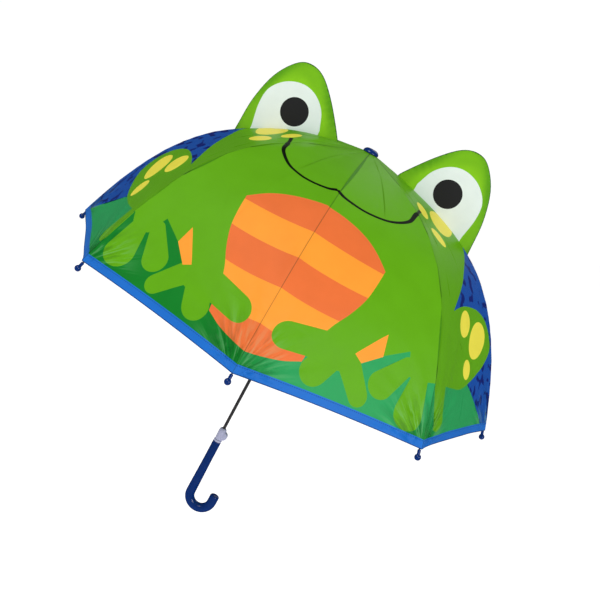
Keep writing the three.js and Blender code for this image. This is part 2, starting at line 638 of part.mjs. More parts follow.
const ribGeometries = {
  rib_inner: [ribInner(), "steel"],
  rib_outer: [ribOuter(), "steel"],
  stretcher: [stretcher(), "steel"],
  rib_tip: [ribTip(), "navyPlastic"],
  canopy_sector: [canopySector(), "canopy"],
};
const eyeClothGeometry = eyeCloth();
const eyeWireGeometry = eyeWire();
const RIGHT_EYE_RIB = 2;
const REAR_RIB = 4;
const LEFT_EYE_RIB = 6;

for (let k = 0; k < RIB_COUNT; k += 1) {
  // Rib 0 is the front one, on -Y, and rib 2 is on +X.
  const spoke = new THREE.Group();
  spoke.rotation.z = 2 * HALF_PANEL * k - Math.PI / 2;
  umbrella.add(spoke);
  for (const [name, [geometry, look]] of Object.entries(ribGeometries)) {
    add(spoke, `${name}_${k}`, geometry, look);
  }
  if (k === RIGHT_EYE_RIB || k === LEFT_EYE_RIB) {
    const side = k === RIGHT_EYE_RIB ? "right" : "left";
    add(spoke, `eye_cloth_${side}`, eyeClothGeometry, "eye");
    add(spoke, `eye_wire_${side}`, eyeWireGeometry, "eyeEdge");
  }
  if (k === REAR_RIB) {
    add(spoke, "closing_strap", closingStrap(), "strap");
    add(spoke, "strap_snap", strapSnap(), "steel");
  }
}

export default umbrella;
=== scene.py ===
import math
import bpy
from mathutils import Matrix, Vector
from mathutils.geometry import delaunay_2d_cdt


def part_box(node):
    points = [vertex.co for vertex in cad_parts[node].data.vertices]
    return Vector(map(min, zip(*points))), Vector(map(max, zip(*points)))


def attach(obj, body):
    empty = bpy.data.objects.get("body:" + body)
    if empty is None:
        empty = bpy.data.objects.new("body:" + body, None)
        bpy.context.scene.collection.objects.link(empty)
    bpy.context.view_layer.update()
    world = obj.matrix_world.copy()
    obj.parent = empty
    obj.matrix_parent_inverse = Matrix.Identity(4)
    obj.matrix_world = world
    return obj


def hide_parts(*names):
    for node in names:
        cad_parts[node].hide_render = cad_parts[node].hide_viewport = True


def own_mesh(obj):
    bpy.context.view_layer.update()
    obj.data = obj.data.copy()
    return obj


bl_info = {
    "name": "Children's Frog Umbrella",
    "version": (1, 0, 0),
    "blender": (4, 5, 0),
    "location": "3D View > Sidebar > Umbrella",
    "description": "Builds a children's umbrella with a printed frog canopy and stand-up eyes",
    "category": "Add Mesh",
}

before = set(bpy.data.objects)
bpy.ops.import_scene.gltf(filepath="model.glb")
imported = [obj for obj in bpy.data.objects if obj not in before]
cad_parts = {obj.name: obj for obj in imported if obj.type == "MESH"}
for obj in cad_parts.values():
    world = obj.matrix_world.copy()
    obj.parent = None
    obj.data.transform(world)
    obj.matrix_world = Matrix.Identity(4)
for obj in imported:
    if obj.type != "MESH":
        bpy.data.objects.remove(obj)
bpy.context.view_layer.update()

MM = 0.001

# ---- Canopy shape, millimetres and radians ----
RIB_COUNT = 8
RIB_BODIES = range(RIB_COUNT)
RIB_TURN = 360 / RIB_COUNT
HALF_PANEL = RIB_TURN / 2
FAN_SHARE = 0.75  # the canopy's full turn lies flat as this share of a circle
OPEN_RADIUS = 350
APEX_Z = 559
HEM_Z = 275
APEX_SLOPE = 0.198
APEX_REACH = 191.6
HEM_LEAN = 0.371
HEM_REACH = 227.9
PANEL_DRAW = 1.05
HEM_LIFT = 2
HEM_BAND = 12.5
PIVOT_ALONG = 240  # the ribs' inner pivots, along the ridge from the apex
HOLE_R = 4
CLOTH = 0.3
GAP = 0.3
RIB_DROP = 3.8  # a rib's middle line below the cloth


def box_mm(node):
    low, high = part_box(node)
    return [v / MM for v in low], [v / MM for v in high]


def bezier(share):
    rest = 1 - share
    handles = (
        (0, APEX_Z),
        (APEX_REACH * math.cos(APEX_SLOPE), APEX_Z - APEX_REACH * math.sin(APEX_SLOPE)),
        (OPEN_RADIUS - HEM_REACH * math.sin(HEM_LEAN), HEM_Z + HEM_REACH * math.cos(HEM_LEAN)),
        (OPEN_RADIUS, HEM_Z),
    )
    weights = (rest ** 3, 3 * rest * rest * share, 3 * rest * share * share, share ** 3)
    return (sum(w * h[0] for w, h in zip(weights, handles)), sum(w * h[1] for w, h in zip(weights, handles)))


PROFILE_STEPS = 960
PROFILE = [bezier(i / PROFILE_STEPS) for i in range(PROFILE_STEPS + 1)]
LENGTHS = [0.0]
for start, end in zip(PROFILE, PROFILE[1:]):
    LENGTHS.append(LENGTHS[-1] + math.dist(start, end))
RIB_LENGTH = LENGTHS[-1]


def on_profile(length, depth=0.0):
    """Distance from the shaft and height, a length along the ridge and a depth under it."""
    inside = min(max(length, 0.0), RIB_LENGTH - 1e-6)
    low, high = 0, PROFILE_STEPS
    while high - low > 1:
        middle = (low + high) // 2
        if LENGTHS[middle] <= inside:
            low = middle
        else:
            high = middle
    share = (length - LENGTHS[low]) / (LENGTHS[low + 1] - LENGTHS[low])
    (x0, z0), (x1, z1) = PROFILE[low], PROFILE[low + 1]
    run = math.hypot(x1 - x0, z1 - z0)
    tangent = ((x1 - x0) / run, (z1 - z0) / run)
    return (x0 + (x1 - x0) * share + tangent[1] * depth, z0 + (z1 - z0) * share - tangent[0] * depth)


def ridge_height(radius):
    """Height of the ridge at a distance from the shaft."""
    for (x0, z0), (x1, z1) in zip(PROFILE, PROFILE[1:]):
        if x1 >= radius:
            return z0 + (z1 - z0) * (radius - x0) / (x1 - x0)
    return HEM_Z


def on_cloth(azimuth, length, depth=0.0):
    """Point of the cloth; azimuth in degrees from the front rib towards +X."""
    from_rib = azimuth - RIB_TURN * round(azimuth / RIB_TURN)
    from_middle = HALF_PANEL - abs(from_rib)
    slack = 1 - (from_middle / HALF_PANEL) ** 2
    radius, height = on_profile(length * (1 - slack * HEM_LIFT / RIB_LENGTH), depth)
    chord = math.cos(math.radians(HALF_PANEL)) / math.cos(math.radians(from_middle))
    radius *= 1 - PANEL_DRAW * (1 - chord)
    turn = math.radians(azimuth)
    return Vector((radius * math.sin(turn), -radius * math.cos(turn), height))


# ---- Flat fan of the canopy: x across, y from the apex towards the front corner ----
def fan_point(azimuth, length):
    turn = math.radians(azimuth * FAN_SHARE)
    return (length * math.sin(turn), length * math.cos(turn))


def from_fan(x, y):
    return math.degrees(math.atan2(x, y)) / FAN_SHARE, math.hypot(x, y)


CREASE_DEPTHS = (2.4, 2.6, 1.4, 1.0, 1.2, 1.0, 1.2, 1.3)  # by rib, the front one first
CREASE_REACH = 58
CREASE_COUNT = 9
CREASE_START = 14  # the swell grows to its height over this distance from the corner
CREASE_DRIFT = 40  # distance over which a crease's waves run on by one radian
CREASE_SHIFT = 1.7  # radians between the waves of one corner and the next
FINE_CREASE = 0.42  # depth of the finer creases against the broad ones
FINE_CREASE_COUNT = 25
SWAY = 0.9  # long, low waves all over the cloth
SWAY_WAVES = ((37, 61), (71, 43))  # distance per radian across and along, for both sets of waves
SEAM_HOLD = 8  # the ridges' seams hold the cloth flat this far
CROWN_HOLD = 60  # and so does the crown, from the apex
# the painted light on the ground fades out over this distance towards each corner
PAINTED_LIGHT_REACH = 42
CREST_SWELL = 8.0  # fuller cloth beside the apex on the left
CREST_MIDDLE = 100
CREST_SPREAD = 80
CREST_TURN = 20
PROBE_LENGTH, PROBE_TURN = 0.4, 0.06  # small moves in the fan that show the cloth's tilt
OUTWARD_Z = 250  # outward all over the canopy, together with the place across


def crease(x, y):
    """Outward swell of the cloth where folds run out of the canopy's corners."""
    azimuth, length = from_fan(x, y)
    rib = round(azimuth / RIB_TURN)
    swell = 0.0
    for k in (rib - 1, rib, rib + 1):
        corner = fan_point(k * RIB_TURN, RIB_LENGTH)
        away_x, away_y = x - corner[0], y - corner[1]
        reach = math.hypot(away_x, away_y)
        turn = math.atan2(away_x, -away_y) + math.radians(k * RIB_TURN * FAN_SHARE)
        fade = math.exp(-reach / CREASE_REACH) * (1 - math.exp(-reach / CREASE_START))
        phase = CREASE_SHIFT * (k % RIB_COUNT) + reach / CREASE_DRIFT
        waves = math.sin(CREASE_COUNT * turn + phase)
        waves += FINE_CREASE * math.sin(FINE_CREASE_COUNT * turn + 2 * phase)
        swell += CREASE_DEPTHS[k % RIB_COUNT] * fade * waves
    beside_rib = length * math.sin(math.radians((azimuth - rib * RIB_TURN) * FAN_SHARE))
    (ax, ay), (bx, by) = SWAY_WAVES
    swell += SWAY * math.sin(x / ax + y / ay) * math.sin(y / by - x / bx)
    crest = CREST_SWELL * math.exp(-((length - CREST_MIDDLE) / CREST_SPREAD) ** 2)
    swell += crest * max(0.0, -math.sin(math.radians(azimuth + CREST_TURN)))
    return swell * (1 - math.exp(-(beside_rib / SEAM_HOLD) ** 2)) * min(length / CROWN_HOLD, 1)


def painted_ground_light(x, y, middle):
    """Painted light: share of the lighter ground tint that stands in for light on the ground's thin cloth,
    less where a corner gathers it.
    """
    if -RIB_TURN < middle < 0:
        return 0.0
    level = 1.0
    for k in range(-2, 3):
        corner = fan_point(k * RIB_TURN, RIB_LENGTH)
        away = math.dist((x, y), corner)
        level *= 1 - math.exp(-(away / PAINTED_LIGHT_REACH) ** 2)
    return level


def cloth_frame(x, y, lean):
    """Point and outward normal of the creased cloth; lean picks the panel on a ridge."""
    azimuth, length = from_fan(x, y)
    nudge = PROBE_TURN if lean > azimuth else -PROBE_TURN
    inner = azimuth + nudge

    def place(px, py):
        return on_cloth(*from_fan(px, py)), crease(px, py)

    base, swell = on_cloth(azimuth, length), crease(x, y)
    middle, middle_swell = place(*fan_point(inner, length))
    side_x, side_x_swell = place(*fan_point(inner + 2 * nudge, length))
    side_y, side_y_swell = place(*fan_point(inner, length + PROBE_LENGTH))
    flat_normal = (side_x - middle).cross(side_y - middle).normalized()
    if flat_normal.dot(Vector((middle.x, middle.y, OUTWARD_Z))) < 0:
        flat_normal.negate()
    across = (side_x + flat_normal * side_x_swell) - (middle + flat_normal * middle_swell)
    along = (side_y + flat_normal * side_y_swell) - (middle + flat_normal * middle_swell)
    normal = across.cross(along).normalized()
    if normal.dot(flat_normal) < 0:
        normal.negate()
    return base + flat_normal * swell, normal


# ---- Outlines of the print ----
def smooth_outline(points, corners=(), steps=6, closed=True):
    """Curve through the points, which turns sharply only at the corners named by their index."""
    count = len(points)
    ends = set(corners) if closed else set(corners) | {0, count - 1}
    result = []
    for i in range(count if closed else count - 1):
        b, c = points[i], points[(i + 1) % count]
        a = (2 * b[0] - c[0], 2 * b[1] - c[1]) if i in ends else points[i - 1]
        far = (i + 1) % count
        d = (2 * c[0] - b[0], 2 * c[1] - b[1]) if far in ends else points[(i + 2) % count]
        for j in range(steps):
            t = j / steps
            result.append(tuple(
                0.5 * (2 * q + (r - p) * t + (2 * p - 5 * q + 4 * r - s) * t * t
                       + (3 * q - p - 3 * r + s) * t ** 3)
                for p, q, r, s in zip(a, b, c, d)))
    if not closed:
        result.append(tuple(points[-1]))
    return result


def ellipse(x, y, across, along, lean=0.0, steps=40):
    cos, sin = math.cos(math.radians(lean)), math.sin(math.radians(lean))
    result = []
    for i in range(steps):
        angle = 2 * math.pi * i / steps
        u, v = across * math.cos(angle), along * math.sin(angle)
        result.append((x + u * cos - v * sin, y + u * sin + v * cos))
    return result


def limb(start, start_r, end, end_r, steps=14):
    """Outline of a tapered finger or toe: round at both ends."""
    away = math.atan2(end[1] - start[1], end[0] - start[0])
    spread = math.acos((start_r - end_r) / math.dist(start, end))
    outline = []
    for i in range(steps + 1):
        angle = away - spread + 2 * spread * i / steps
        outline.append((end[0] + end_r * math.cos(angle), end[1] + end_r * math.sin(angle)))
    for i in range(steps + 1):
        angle = away + spread + (2 * math.pi - 2 * spread) * i / steps
        outline.append((start[0] + start_r * math.cos(angle), start[1] + start_r * math.sin(angle)))
    return outline


def stroke(points, widths, steps=6):
    """Outline of a drawn line whose half width runs through the widths."""
    line = smooth_outline(points, steps=steps, closed=False)
    left, right = [], []
    for i, (x, y) in enumerate(line):
        before, after = line[max(i - 1, 0)], line[min(i + 1, len(line) - 1)]
        run = math.dist(before, after)
        nx, ny = -(after[1] - before[1]) / run, (after[0] - before[0]) / run
        place = i / (len(line) - 1) * (len(widths) - 1)
        index = min(int(place), len(widths) - 2)
        half = widths[index] + (widths[index + 1] - widths[index]) * (place - index)
        left.append((x + nx * half, y + ny * half))
        right.append((x - nx * half, y - ny * half))
    return left + right[::-1]


def band(top, bottom, half=112, droop=45, sag=6.0, step=7):
    """Belly stripe between two heights, each edge sagging most at the droop's distance from the middle."""
    def edge(height):
        return [(x, height + sag * (1 - ((abs(x) - droop) / droop) ** 2))
                for x in range(-half, half + 1, step)]
    return edge(top) + edge(bottom)[::-1]


# The print's outlines lie in the fan: x across, y from the apex towards the front corner, millimetres.
LEFT_SIDE = [
    (-106, -106), (-180, -92), (-232, -38), (-252, 22), (-240, 62), (-205, 66), (-173, 71), (-183, 92),
    (-190, 126), (-194, 158), (-193, 189), (-187, 227),
]
RIGHT_SIDE = [
    (106, -106), (180, -92), (232, -38), (252, 22), (242, 60), (208, 66), (178, 74), (191, 100),
    (199, 137), (203, 174), (200, 226),
]
LEFT_LOBE = [
    (-187, 227), (-209, 200), (-230, 174), (-246, 158), (-267, 146), (-288, 145), (-309, 153), (-325, 174),
    (-326, 200), (-318, 232), (-304, 259), (-277, 287), (-248, 307), (-214, 323),
]
RIGHT_LOBE = [
    (200, 226), (220, 197), (241, 171), (260, 150), (280, 138), (304, 138), (325, 147), (334, 174),
    (333, 205), (325, 239), (307, 274), (280, 297), (254, 313), (223, 326),
]
TORSO_FOOT = [
    (214, 337), (205, 352), (192, 353), (174, 329), (152, 362), (132, 392), (60, 400), (-60, 400),
    (-130, 392), (-150, 360), (-174, 329), (-192, 353), (-205, 352), (-214, 337),
]
BELLY = [
    (-3, 227), (42, 241), (68, 253), (93, 270), (94, 296), (93, 322), (86, 350), (75, 377), (68, 405),
    (67, 433), (40, 445), (0, 451), (-40, 445), (-67, 433), (-68, 405), (-75, 377), (-86, 350), (-93, 322),
    (-94, 296), (-93, 270), (-68, 253), (-42, 241),
]
MOUTH_LEFT = [(-88, 107), (-82, 124), (-83, 153), (-70, 182), (-51, 196), (-33, 200), (-14, 197), (-3, 189)]
MOUTH_RIGHT = [(-3, 189), (10, 199), (33, 204), (57, 197), (73, 182), (83, 158), (83, 126), (91, 107)]
WEDGE_LEFT = [(-139, 336), (-150, 360), (-131, 390), (-119, 387)]
WEDGE_RIGHT = [(141, 335), (153, 362), (135, 389), (121, 385)]
BLUE_BACK_LEFT = [
    (0, 0), (-190, 240), (-280, 240), (-301, 262), (-445, 195), (-600, 60), (-600, -460), (-300, -460),
]
BLUE_BACK_RIGHT = [
    (0, 0), (195, 240), (290, 240), (324, 247), (445, 195), (600, 60), (600, -460), (300, -460),
]
# Limbs, each from one round end to the other: middle, radius, middle, radius.
HANDS = (
    ((-205, 345), 11, (-221, 385), 21), ((-182, 343), 9, (-171, 390), 18), ((-224, 322), 9, (-252, 356), 13),
    ((205, 345), 11, (224, 388), 20), ((184, 343), 10, (173, 391), 18), ((236, 322), 17, (281, 348), 16),
)
TOES = (
    ((112, 352), 24, (107, 396), 22), ((110, 392), 17, (158, 423), 14), ((103, 395), 16, (88, 434), 20),
    ((98, 398), 20, (34, 413), 18),
)
# Spots: middle, half width, half height, lean in degrees.
SPOTS = (
    (-134, 84, 22, 34, 4), (134, 81, 22, 33, -4), (-126, 136, 18, 12, -14), (132, 135, 18, 10, 16),
    (-95, 97, 9, 19, 22), (97, 97, 10, 19, -22), (-279, 195, 22, 33, 0), (-232, 211, 19, 23, -12),
    (-279, 253, 17, 17, 0), (289, 185, 23.5, 35, 0), (243, 208, 18, 21, 0), (300, 241, 14.5, 14, 0),
)


def body_outline():
    left = smooth_outline(LEFT_SIDE, corners=(4, 6, 11), closed=False)
    right = smooth_outline(RIGHT_SIDE, corners=(4, 6, 10), closed=False)
    left_lobe = smooth_outline(LEFT_LOBE, closed=False)
    right_lobe = smooth_outline(RIGHT_LOBE, closed=False)
    return right[:-1] + right_lobe + TORSO_FOOT + left_lobe[::-1] + left[::-1][1:]


def print_regions():
    """Printed areas as (outline, colour name), each over those before it; a band shows on the belly only."""
    regions = [(BLUE_BACK_LEFT, "blue"), (BLUE_BACK_RIGHT, "blue"), (body_outline(), "skin")]
    regions += [(limb(*hand), "skin") for hand in HANDS]
    regions.append((smooth_outline(BELLY, corners=(0, 3, 9, 13, 19)), "belly"))
    regions += [(band(276, 318), "band"), (band(363, 413), "band")]
    for side in (-1, 1):
        for start, start_r, end, end_r in TOES:
            outline = limb((side * start[0], start[1]), start_r, (side * end[0], end[1]), end_r)
            regions.append((outline, "skin"))
    regions += [(ellipse(*spot), "spot") for spot in SPOTS]
    regions += [(WEDGE_LEFT, "stripe"), (WEDGE_RIGHT, "stripe")]
    regions.append((stroke(MOUTH_LEFT, (3.0, 2.2, 2.0, 2.0, 2.4)), "line"))
    regions.append((stroke(MOUTH_RIGHT, (2.4, 2.0, 2.0, 2.2, 3.0)), "line"))
    return regions


def fan_cell(azimuth, first, last, steps=10):
    """Outline of one half panel between two lengths along the ribs."""
    outer = [fan_point(azimuth + HALF_PANEL * i / steps, last) for i in range(steps + 1)]
    inner = [fan_point(azimuth + HALF_PANEL * i / steps, first) for i in range(steps, -1, -1)]
    return outer + inner


def signed_area(outline):
    return sum(a[0] * b[1] - b[0] * a[1] for a, b in zip(outline, outline[1:] + outline[:1])) / 2


def triangulate(outlines, spare_points):
    """Triangles that respect every outline, with the outlines that each triangle lies in."""
    points, faces = [], []
    for outline in outlines:
        if signed_area(outline) < 0:
            outline = outline[::-1]
        faces.append(list(range(len(points), len(points) + len(outline))))
        points.extend(Vector(p) for p in outline)
    points.extend(Vector(p) for p in spare_points)
    found, _, triangles, _, _, inside = delaunay_2d_cdt(points, [], faces, 0, 1e-4, True)
    return [tuple(p) for p in found], triangles, inside


def own_points(triangles):
    """Numbers of the points that the triangles use, and the triangles in that new order."""
    own = {}
    faces = [tuple(own.setdefault(i, len(own)) for i in triangle) for triangle in triangles]
    return list(own), faces


def facing(points, faces, outward):
    """Faces, turned over where the first one looks away from the outward direction."""
    a, b, c = (points[i] for i in faces[0][:3])
    if (b - a).cross(c - a).dot(outward) < 0:
        return [tuple(reversed(face)) for face in faces]
    return faces


def grid_faces(rows, columns):
    faces = []
    for row in range(rows):
        for column in range(columns):
            a = row * (columns + 1) + column
            faces.append((a, a + columns + 1, a + columns + 2, a + 1))
    return faces


def rim_faces(faces, count):
    """Faces round the rim, between a layer and a second one whose points follow its own."""
    edges = dict.fromkeys(edge for face in faces for edge in zip(face, face[1:] + face[:1]))
    return [(b, a, a + count, b + count) for a, b in edges if (b, a) not in edges]


def sheet_area(points, faces):
    """Area of triangles or flat four-sided faces."""
    triangles = [(f[0], f[i], f[i + 1]) for f in faces for i in range(1, len(f) - 1)]
    return sum((points[b] - points[a]).cross(points[c] - points[a]).length / 2 for a, b, c in triangles)


# ---- Mesh helpers ----
MERGE = 0.00001  # metres
FINE_MERGE = 0.000005


def deselect():
    if bpy.context.object and bpy.context.object.mode != "OBJECT":
        bpy.ops.object.mode_set(mode="OBJECT")
    bpy.ops.object.select_all(action="DESELECT")


def activate(piece):
    deselect()
    piece.select_set(True)
    bpy.context.view_layer.objects.active = piece


def finish_piece(piece, name, material, body, replaced=()):
    piece.name = name
    piece.data.name = name
    piece.data.materials.clear()
    piece.data.materials.append(material)
    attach(piece, body)
    if replaced:
        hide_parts(*replaced)
    return piece


def link_piece(piece):
    bpy.context.scene.collection.objects.link(piece)
    return piece


def new_piece(name, points, faces):
    """Mesh object from points in millimetres."""
    mesh = bpy.data.meshes.new(name)
    mesh.from_pydata([tuple(v * MM for v in p) for p in points], [], faces)
    return link_piece(bpy.data.objects.new(name, mesh))


def turned_copy(piece, rib):
    """Copy of a piece modelled on +X, with its own mesh, turned to a rib."""
    copy = piece.copy()
    copy.data = piece.data.copy()
    link_piece(copy)
    copy.data.transform(Matrix.Rotation(math.radians(RIB_TURN * rib - 90), 4, "Z"))
    return copy


def smooth_by_angle(piece, degrees=35):
    activate(piece)
    bpy.ops.object.shade_smooth_by_angle(angle=math.radians(degrees))


def apply_all(piece):
    activate(piece)
    for modifier in list(piece.modifiers):
        bpy.ops.object.modifier_apply(modifier=modifier.name)


def edit_all(piece):
    activate(piece)
    bpy.ops.object.mode_set(mode="EDIT")
    bpy.ops.mesh.select_all(action="SELECT")


def end_turning():
    """Merge the doubled points of the piece in edit mode, face it outward and leave the mode."""
    bpy.ops.mesh.select_all(action="SELECT")
    bpy.ops.mesh.remove_doubles(threshold=MERGE)
    bpy.ops.mesh.normals_make_consistent(inside=False)
    bpy.ops.object.mode_set(mode="OBJECT")


def draw_out(rise, grow, centre=(0, 0, 0)):
    """Extrude the selected edge or face upwards, and scale its new end about the centre."""
    bpy.ops.mesh.extrude_region_move(TRANSFORM_OT_translate={"value": (0, 0, rise * MM)})
    bpy.ops.transform.resize(value=(grow, grow, 1), center_override=centre)


def turned_piece(outline, sides, closed=False):
    """Body of revolution: a circle drawn out step by step through its [radius, height] outline."""
    deselect()
    radius, height = outline[0]
    bpy.ops.mesh.primitive_circle_add(
        vertices=sides, radius=radius * MM, fill_type="NOTHING" if closed else "NGON",
        location=(0, 0, height * MM))
    piece = bpy.context.object
    bpy.ops.object.transform_apply(location=True, rotation=True, scale=True)
    bpy.ops.object.mode_set(mode="EDIT")
    bpy.ops.mesh.select_mode(type="EDGE")
    bpy.ops.mesh.select_all(action="SELECT")
    for next_radius, next_height in outline[1:] + (outline[:1] if closed else []):
        draw_out(next_height - height, next_radius / radius)
        radius, height = next_radius, next_height
    end_turning()
    return piece


def rod(points, radius, resolution=3):
    """Round rod through points in millimetres."""
    curve = bpy.data.curves.new("rod", "CURVE")
    curve.dimensions = "3D"
    spline = curve.splines.new("POLY")
    spline.points.add(len(points) - 1)
    for target, point in zip(spline.points, points):
        target.co = (*(v * MM for v in point), 1)
    curve.bevel_depth = radius * MM
    curve.bevel_resolution = resolution
    curve.use_fill_caps = True
    piece = link_piece(bpy.data.objects.new("rod", curve))
    activate(piece)
    bpy.ops.object.convert(target="MESH")
    piece = bpy.context.object
    edit_all(piece)
    bpy.ops.mesh.normals_make_consistent(inside=False)
    bpy.ops.object.mode_set(mode="OBJECT")
    return piece


def boolean(piece, tool, operation):
    modifier = piece.modifiers.new("cut", "BOOLEAN")
    modifier.operation = operation
    modifier.solver = "EXACT"
    modifier.object = tool
    apply_all(piece)
    bpy.data.objects.remove(tool, do_unlink=True)
    return piece


def bevelled(piece, width, degrees=40):
    modifier = piece.modifiers.new("edge", "BEVEL")
    modifier.width = width * MM
    modifier.segments = 2
    modifier.limit_method = "ANGLE"
    modifier.angle_limit = math.radians(degrees)
    apply_all(piece)
    smooth_by_angle(piece)
    return piece


def finer_copy(node, width):
    """Copy of a framework node with merged faces and eased edges."""
    source = bpy.data.objects[node]
    copy = link_piece(bpy.data.objects.new(node + "_eased", source.data.copy()))
    edit_all(copy)
    bpy.ops.mesh.remove_doubles(threshold=FINE_MERGE)
    bpy.ops.mesh.dissolve_limited(angle_limit=math.radians(1))
    bpy.ops.object.mode_set(mode="OBJECT")
    return bevelled(copy, width)


def eased_piece(node, width, look, body, name=None):
    """Piece that is a framework node with eased edges."""
    copy = finer_copy(node, width)
    return finish_piece(copy, name or f"{node}_piece", finish(look), body, [node])


# ---- Materials ----
def tint(value):
    """Linear colour from one in steps of 255."""
    shares = [v / 255 for v in value]
    return tuple(c / 12.92 if c <= 0.04045 else ((c + 0.055) / 1.055) ** 2.4 for c in shares)


def add_node(tree, kind, **settings):
    node = tree.nodes.new(kind)
    for key, value in settings.items():
        setattr(node, key, value)
    return node


def new_group(name, inputs, outputs):
    """Node group with its sockets, each a (name, kind), and its two ends."""
    tree = bpy.data.node_groups.new(name, "ShaderNodeTree")
    for in_out, sockets in (("INPUT", inputs), ("OUTPUT", outputs)):
        for socket, kind in sockets:
            tree.interface.new_socket(socket, in_out=in_out, socket_type=f"NodeSocket{kind}")
    return tree, add_node(tree, "NodeGroupInput"), add_node(tree, "NodeGroupOutput")


def math_node(tree, operation, *values):
    """Sum on sockets and plain numbers."""
    node = add_node(tree, "ShaderNodeMath", operation=operation)
    for socket, value in zip(node.inputs, values):
        if isinstance(value, (int, float)):
            socket.default_value = value
        else:
            tree.links.new(value, socket)
    return node.outputs[0]


def multiply(tree, first, second):
    return math_node(tree, "MULTIPLY", first, second)


def cloudy(tree, place, scale, **settings):
    """Noise at a place, as its node."""
    node = add_node(tree, "ShaderNodeTexNoise")
    node.inputs["Scale"].default_value = scale
    for key, value in settings.items():
        node.inputs[key].default_value = value
    tree.links.new(place, node.inputs["Vector"])
    return node


def grain_group():
    """Colour grain: cloudy light and dark patches, for every finish."""
    tree, entry, leave = new_group(
        "Grain", (("Color", "Color"), ("Vector", "Vector"), ("Scale", "Float"), ("Amount", "Float")),
        (("Color", "Color"), ("Mask", "Float")))
    link = tree.links.new
    clouds = cloudy(tree, entry.outputs["Vector"], 1, Detail=4)
    link(entry.outputs["Scale"], clouds.inputs["Scale"])
    shift = math_node(tree, "SUBTRACT", clouds.outputs["Fac"], 0.5)
    strength = math_node(tree, "MULTIPLY_ADD", shift, entry.outputs["Amount"], 1)
    scaled = add_node(tree, "ShaderNodeVectorMath", operation="SCALE")
    link(entry.outputs["Color"], scaled.inputs[0])
    link(strength, scaled.inputs["Scale"])
    link(scaled.outputs[0], leave.inputs["Color"])
    link(clouds.outputs["Fac"], leave.inputs["Mask"])
    return tree


def weave_group():
    """Height of a fine plain weave from a flat cloth map in metres."""
    tree, entry, leave = new_group(
        "Weave", (("Vector", "Vector"), ("Threads", "Float")), (("Height", "Float"),))
    link = tree.links.new
    threads = []
    for direction in ("X", "Y"):
        wave = add_node(tree, "ShaderNodeTexWave", wave_type="BANDS", bands_direction=direction)
        link(entry.outputs["Vector"], wave.inputs["Vector"])
        link(entry.outputs["Threads"], wave.inputs["Scale"])
        threads.append(wave.outputs["Fac"])
    link(multiply(tree, *threads), leave.inputs["Height"])
    return tree


def shared_group(name):
    return bpy.data.node_groups.get(name) or {"Grain": grain_group, "Weave": weave_group}[name]()


def new_material(name):
    material = bpy.data.materials.new(name)
    material.use_nodes = True
    tree = material.node_tree
    return material, tree, tree.nodes["Principled BSDF"]


def placed_group(tree, name, vector, **values):
    node = add_node(tree, "ShaderNodeGroup", node_tree=shared_group(name))
    tree.links.new(vector, node.inputs["Vector"])
    for key, value in values.items():
        node.inputs[key].default_value = value
    return node


def spread(tree, source, low, high):
    """Value that runs from low to high as a mask runs from 0 to 1."""
    node = add_node(tree, "ShaderNodeMapRange")
    node.inputs["To Min"].default_value = low
    node.inputs["To Max"].default_value = high
    tree.links.new(source, node.inputs["Value"])
    return node.outputs["Result"]


def bump(tree, shader, height, strength, distance):
    node = add_node(tree, "ShaderNodeBump")
    node.inputs["Strength"].default_value = strength
    node.inputs["Distance"].default_value = distance
    tree.links.new(height, node.inputs["Height"])
    tree.links.new(node.outputs["Normal"], shader.inputs["Normal"])


def hard_material(name, colour, metallic, rough_low, rough_high, grain_scale, amount, relief, coat=0.0):
    """Plastic or metal with a cloudy colour, uneven gloss and fine relief."""
    material, tree, shader = new_material(name)
    place = add_node(tree, "ShaderNodeTexCoord").outputs["Object"]
    grain = placed_group(tree, "Grain", place, Color=(*tint(colour), 1), Scale=grain_scale, Amount=amount)
    tree.links.new(grain.outputs["Color"], shader.inputs["Base Color"])
    tree.links.new(spread(tree, grain.outputs["Mask"], rough_low, rough_high), shader.inputs["Roughness"])
    shader.inputs["Metallic"].default_value = metallic
    shader.inputs["Coat Weight"].default_value = coat
    shader.inputs["Coat Roughness"].default_value = 0.08
    fine = cloudy(tree, place, grain_scale * 9)
    bump(tree, shader, fine.outputs["Fac"], relief, 0.0002)
    return material


def threshold(tree, source, edge, softness, falling=False):
    """Mask that is 1 past an edge, or before it when falling."""
    node = add_node(tree, "ShaderNodeMapRange")
    node.inputs["From Min"].default_value = edge - softness
    node.inputs["From Max"].default_value = edge + softness
    node.inputs["To Min"].default_value = 1.0 if falling else 0.0
    node.inputs["To Max"].default_value = 0.0 if falling else 1.0
    tree.links.new(source, node.inputs["Value"])
    return node.outputs["Result"]


def mix_colour(tree, factor, first, second):
    node = add_node(tree, "ShaderNodeMix", data_type="RGBA")
    tree.links.new(factor, node.inputs["Factor"])
    for socket, value in ((node.inputs["A"], first), (node.inputs["B"], second)):
        if isinstance(value, tuple):
            socket.default_value = (*tint(value), 1)
        else:
            tree.links.new(value, socket)
    return node.outputs["Result"]


def dashes(tree, along, pitch, share):
    """Mask of stitches along a length in metres."""
    part = math_node(tree, "FRACT", math_node(tree, "DIVIDE", along, pitch))
    return threshold(tree, part, share, 0.06, falling=True)


def line_mask(tree, source, centre, half):
    """Mask of a thin line at one value of a length in metres."""
    away = math_node(tree, "ABSOLUTE", math_node(tree, "SUBTRACT", source, centre))
    return threshold(tree, away, half, half * 0.35, falling=True)


FOLD_HEIGHT = 2600  # against the weave's height of 1
FOLD_START = 6  # folds run from this far past the rib's end, millimetres
FOLD_NEAR, FOLD_FAR = 0.02, 0.1  # metres from the corner between which the folds fade
FOLD_TURNS, FOLD_STRETCH, FOLD_CHANGE = 3.2, 9.0, 3.0  # across the folds, along them, from corner to corner


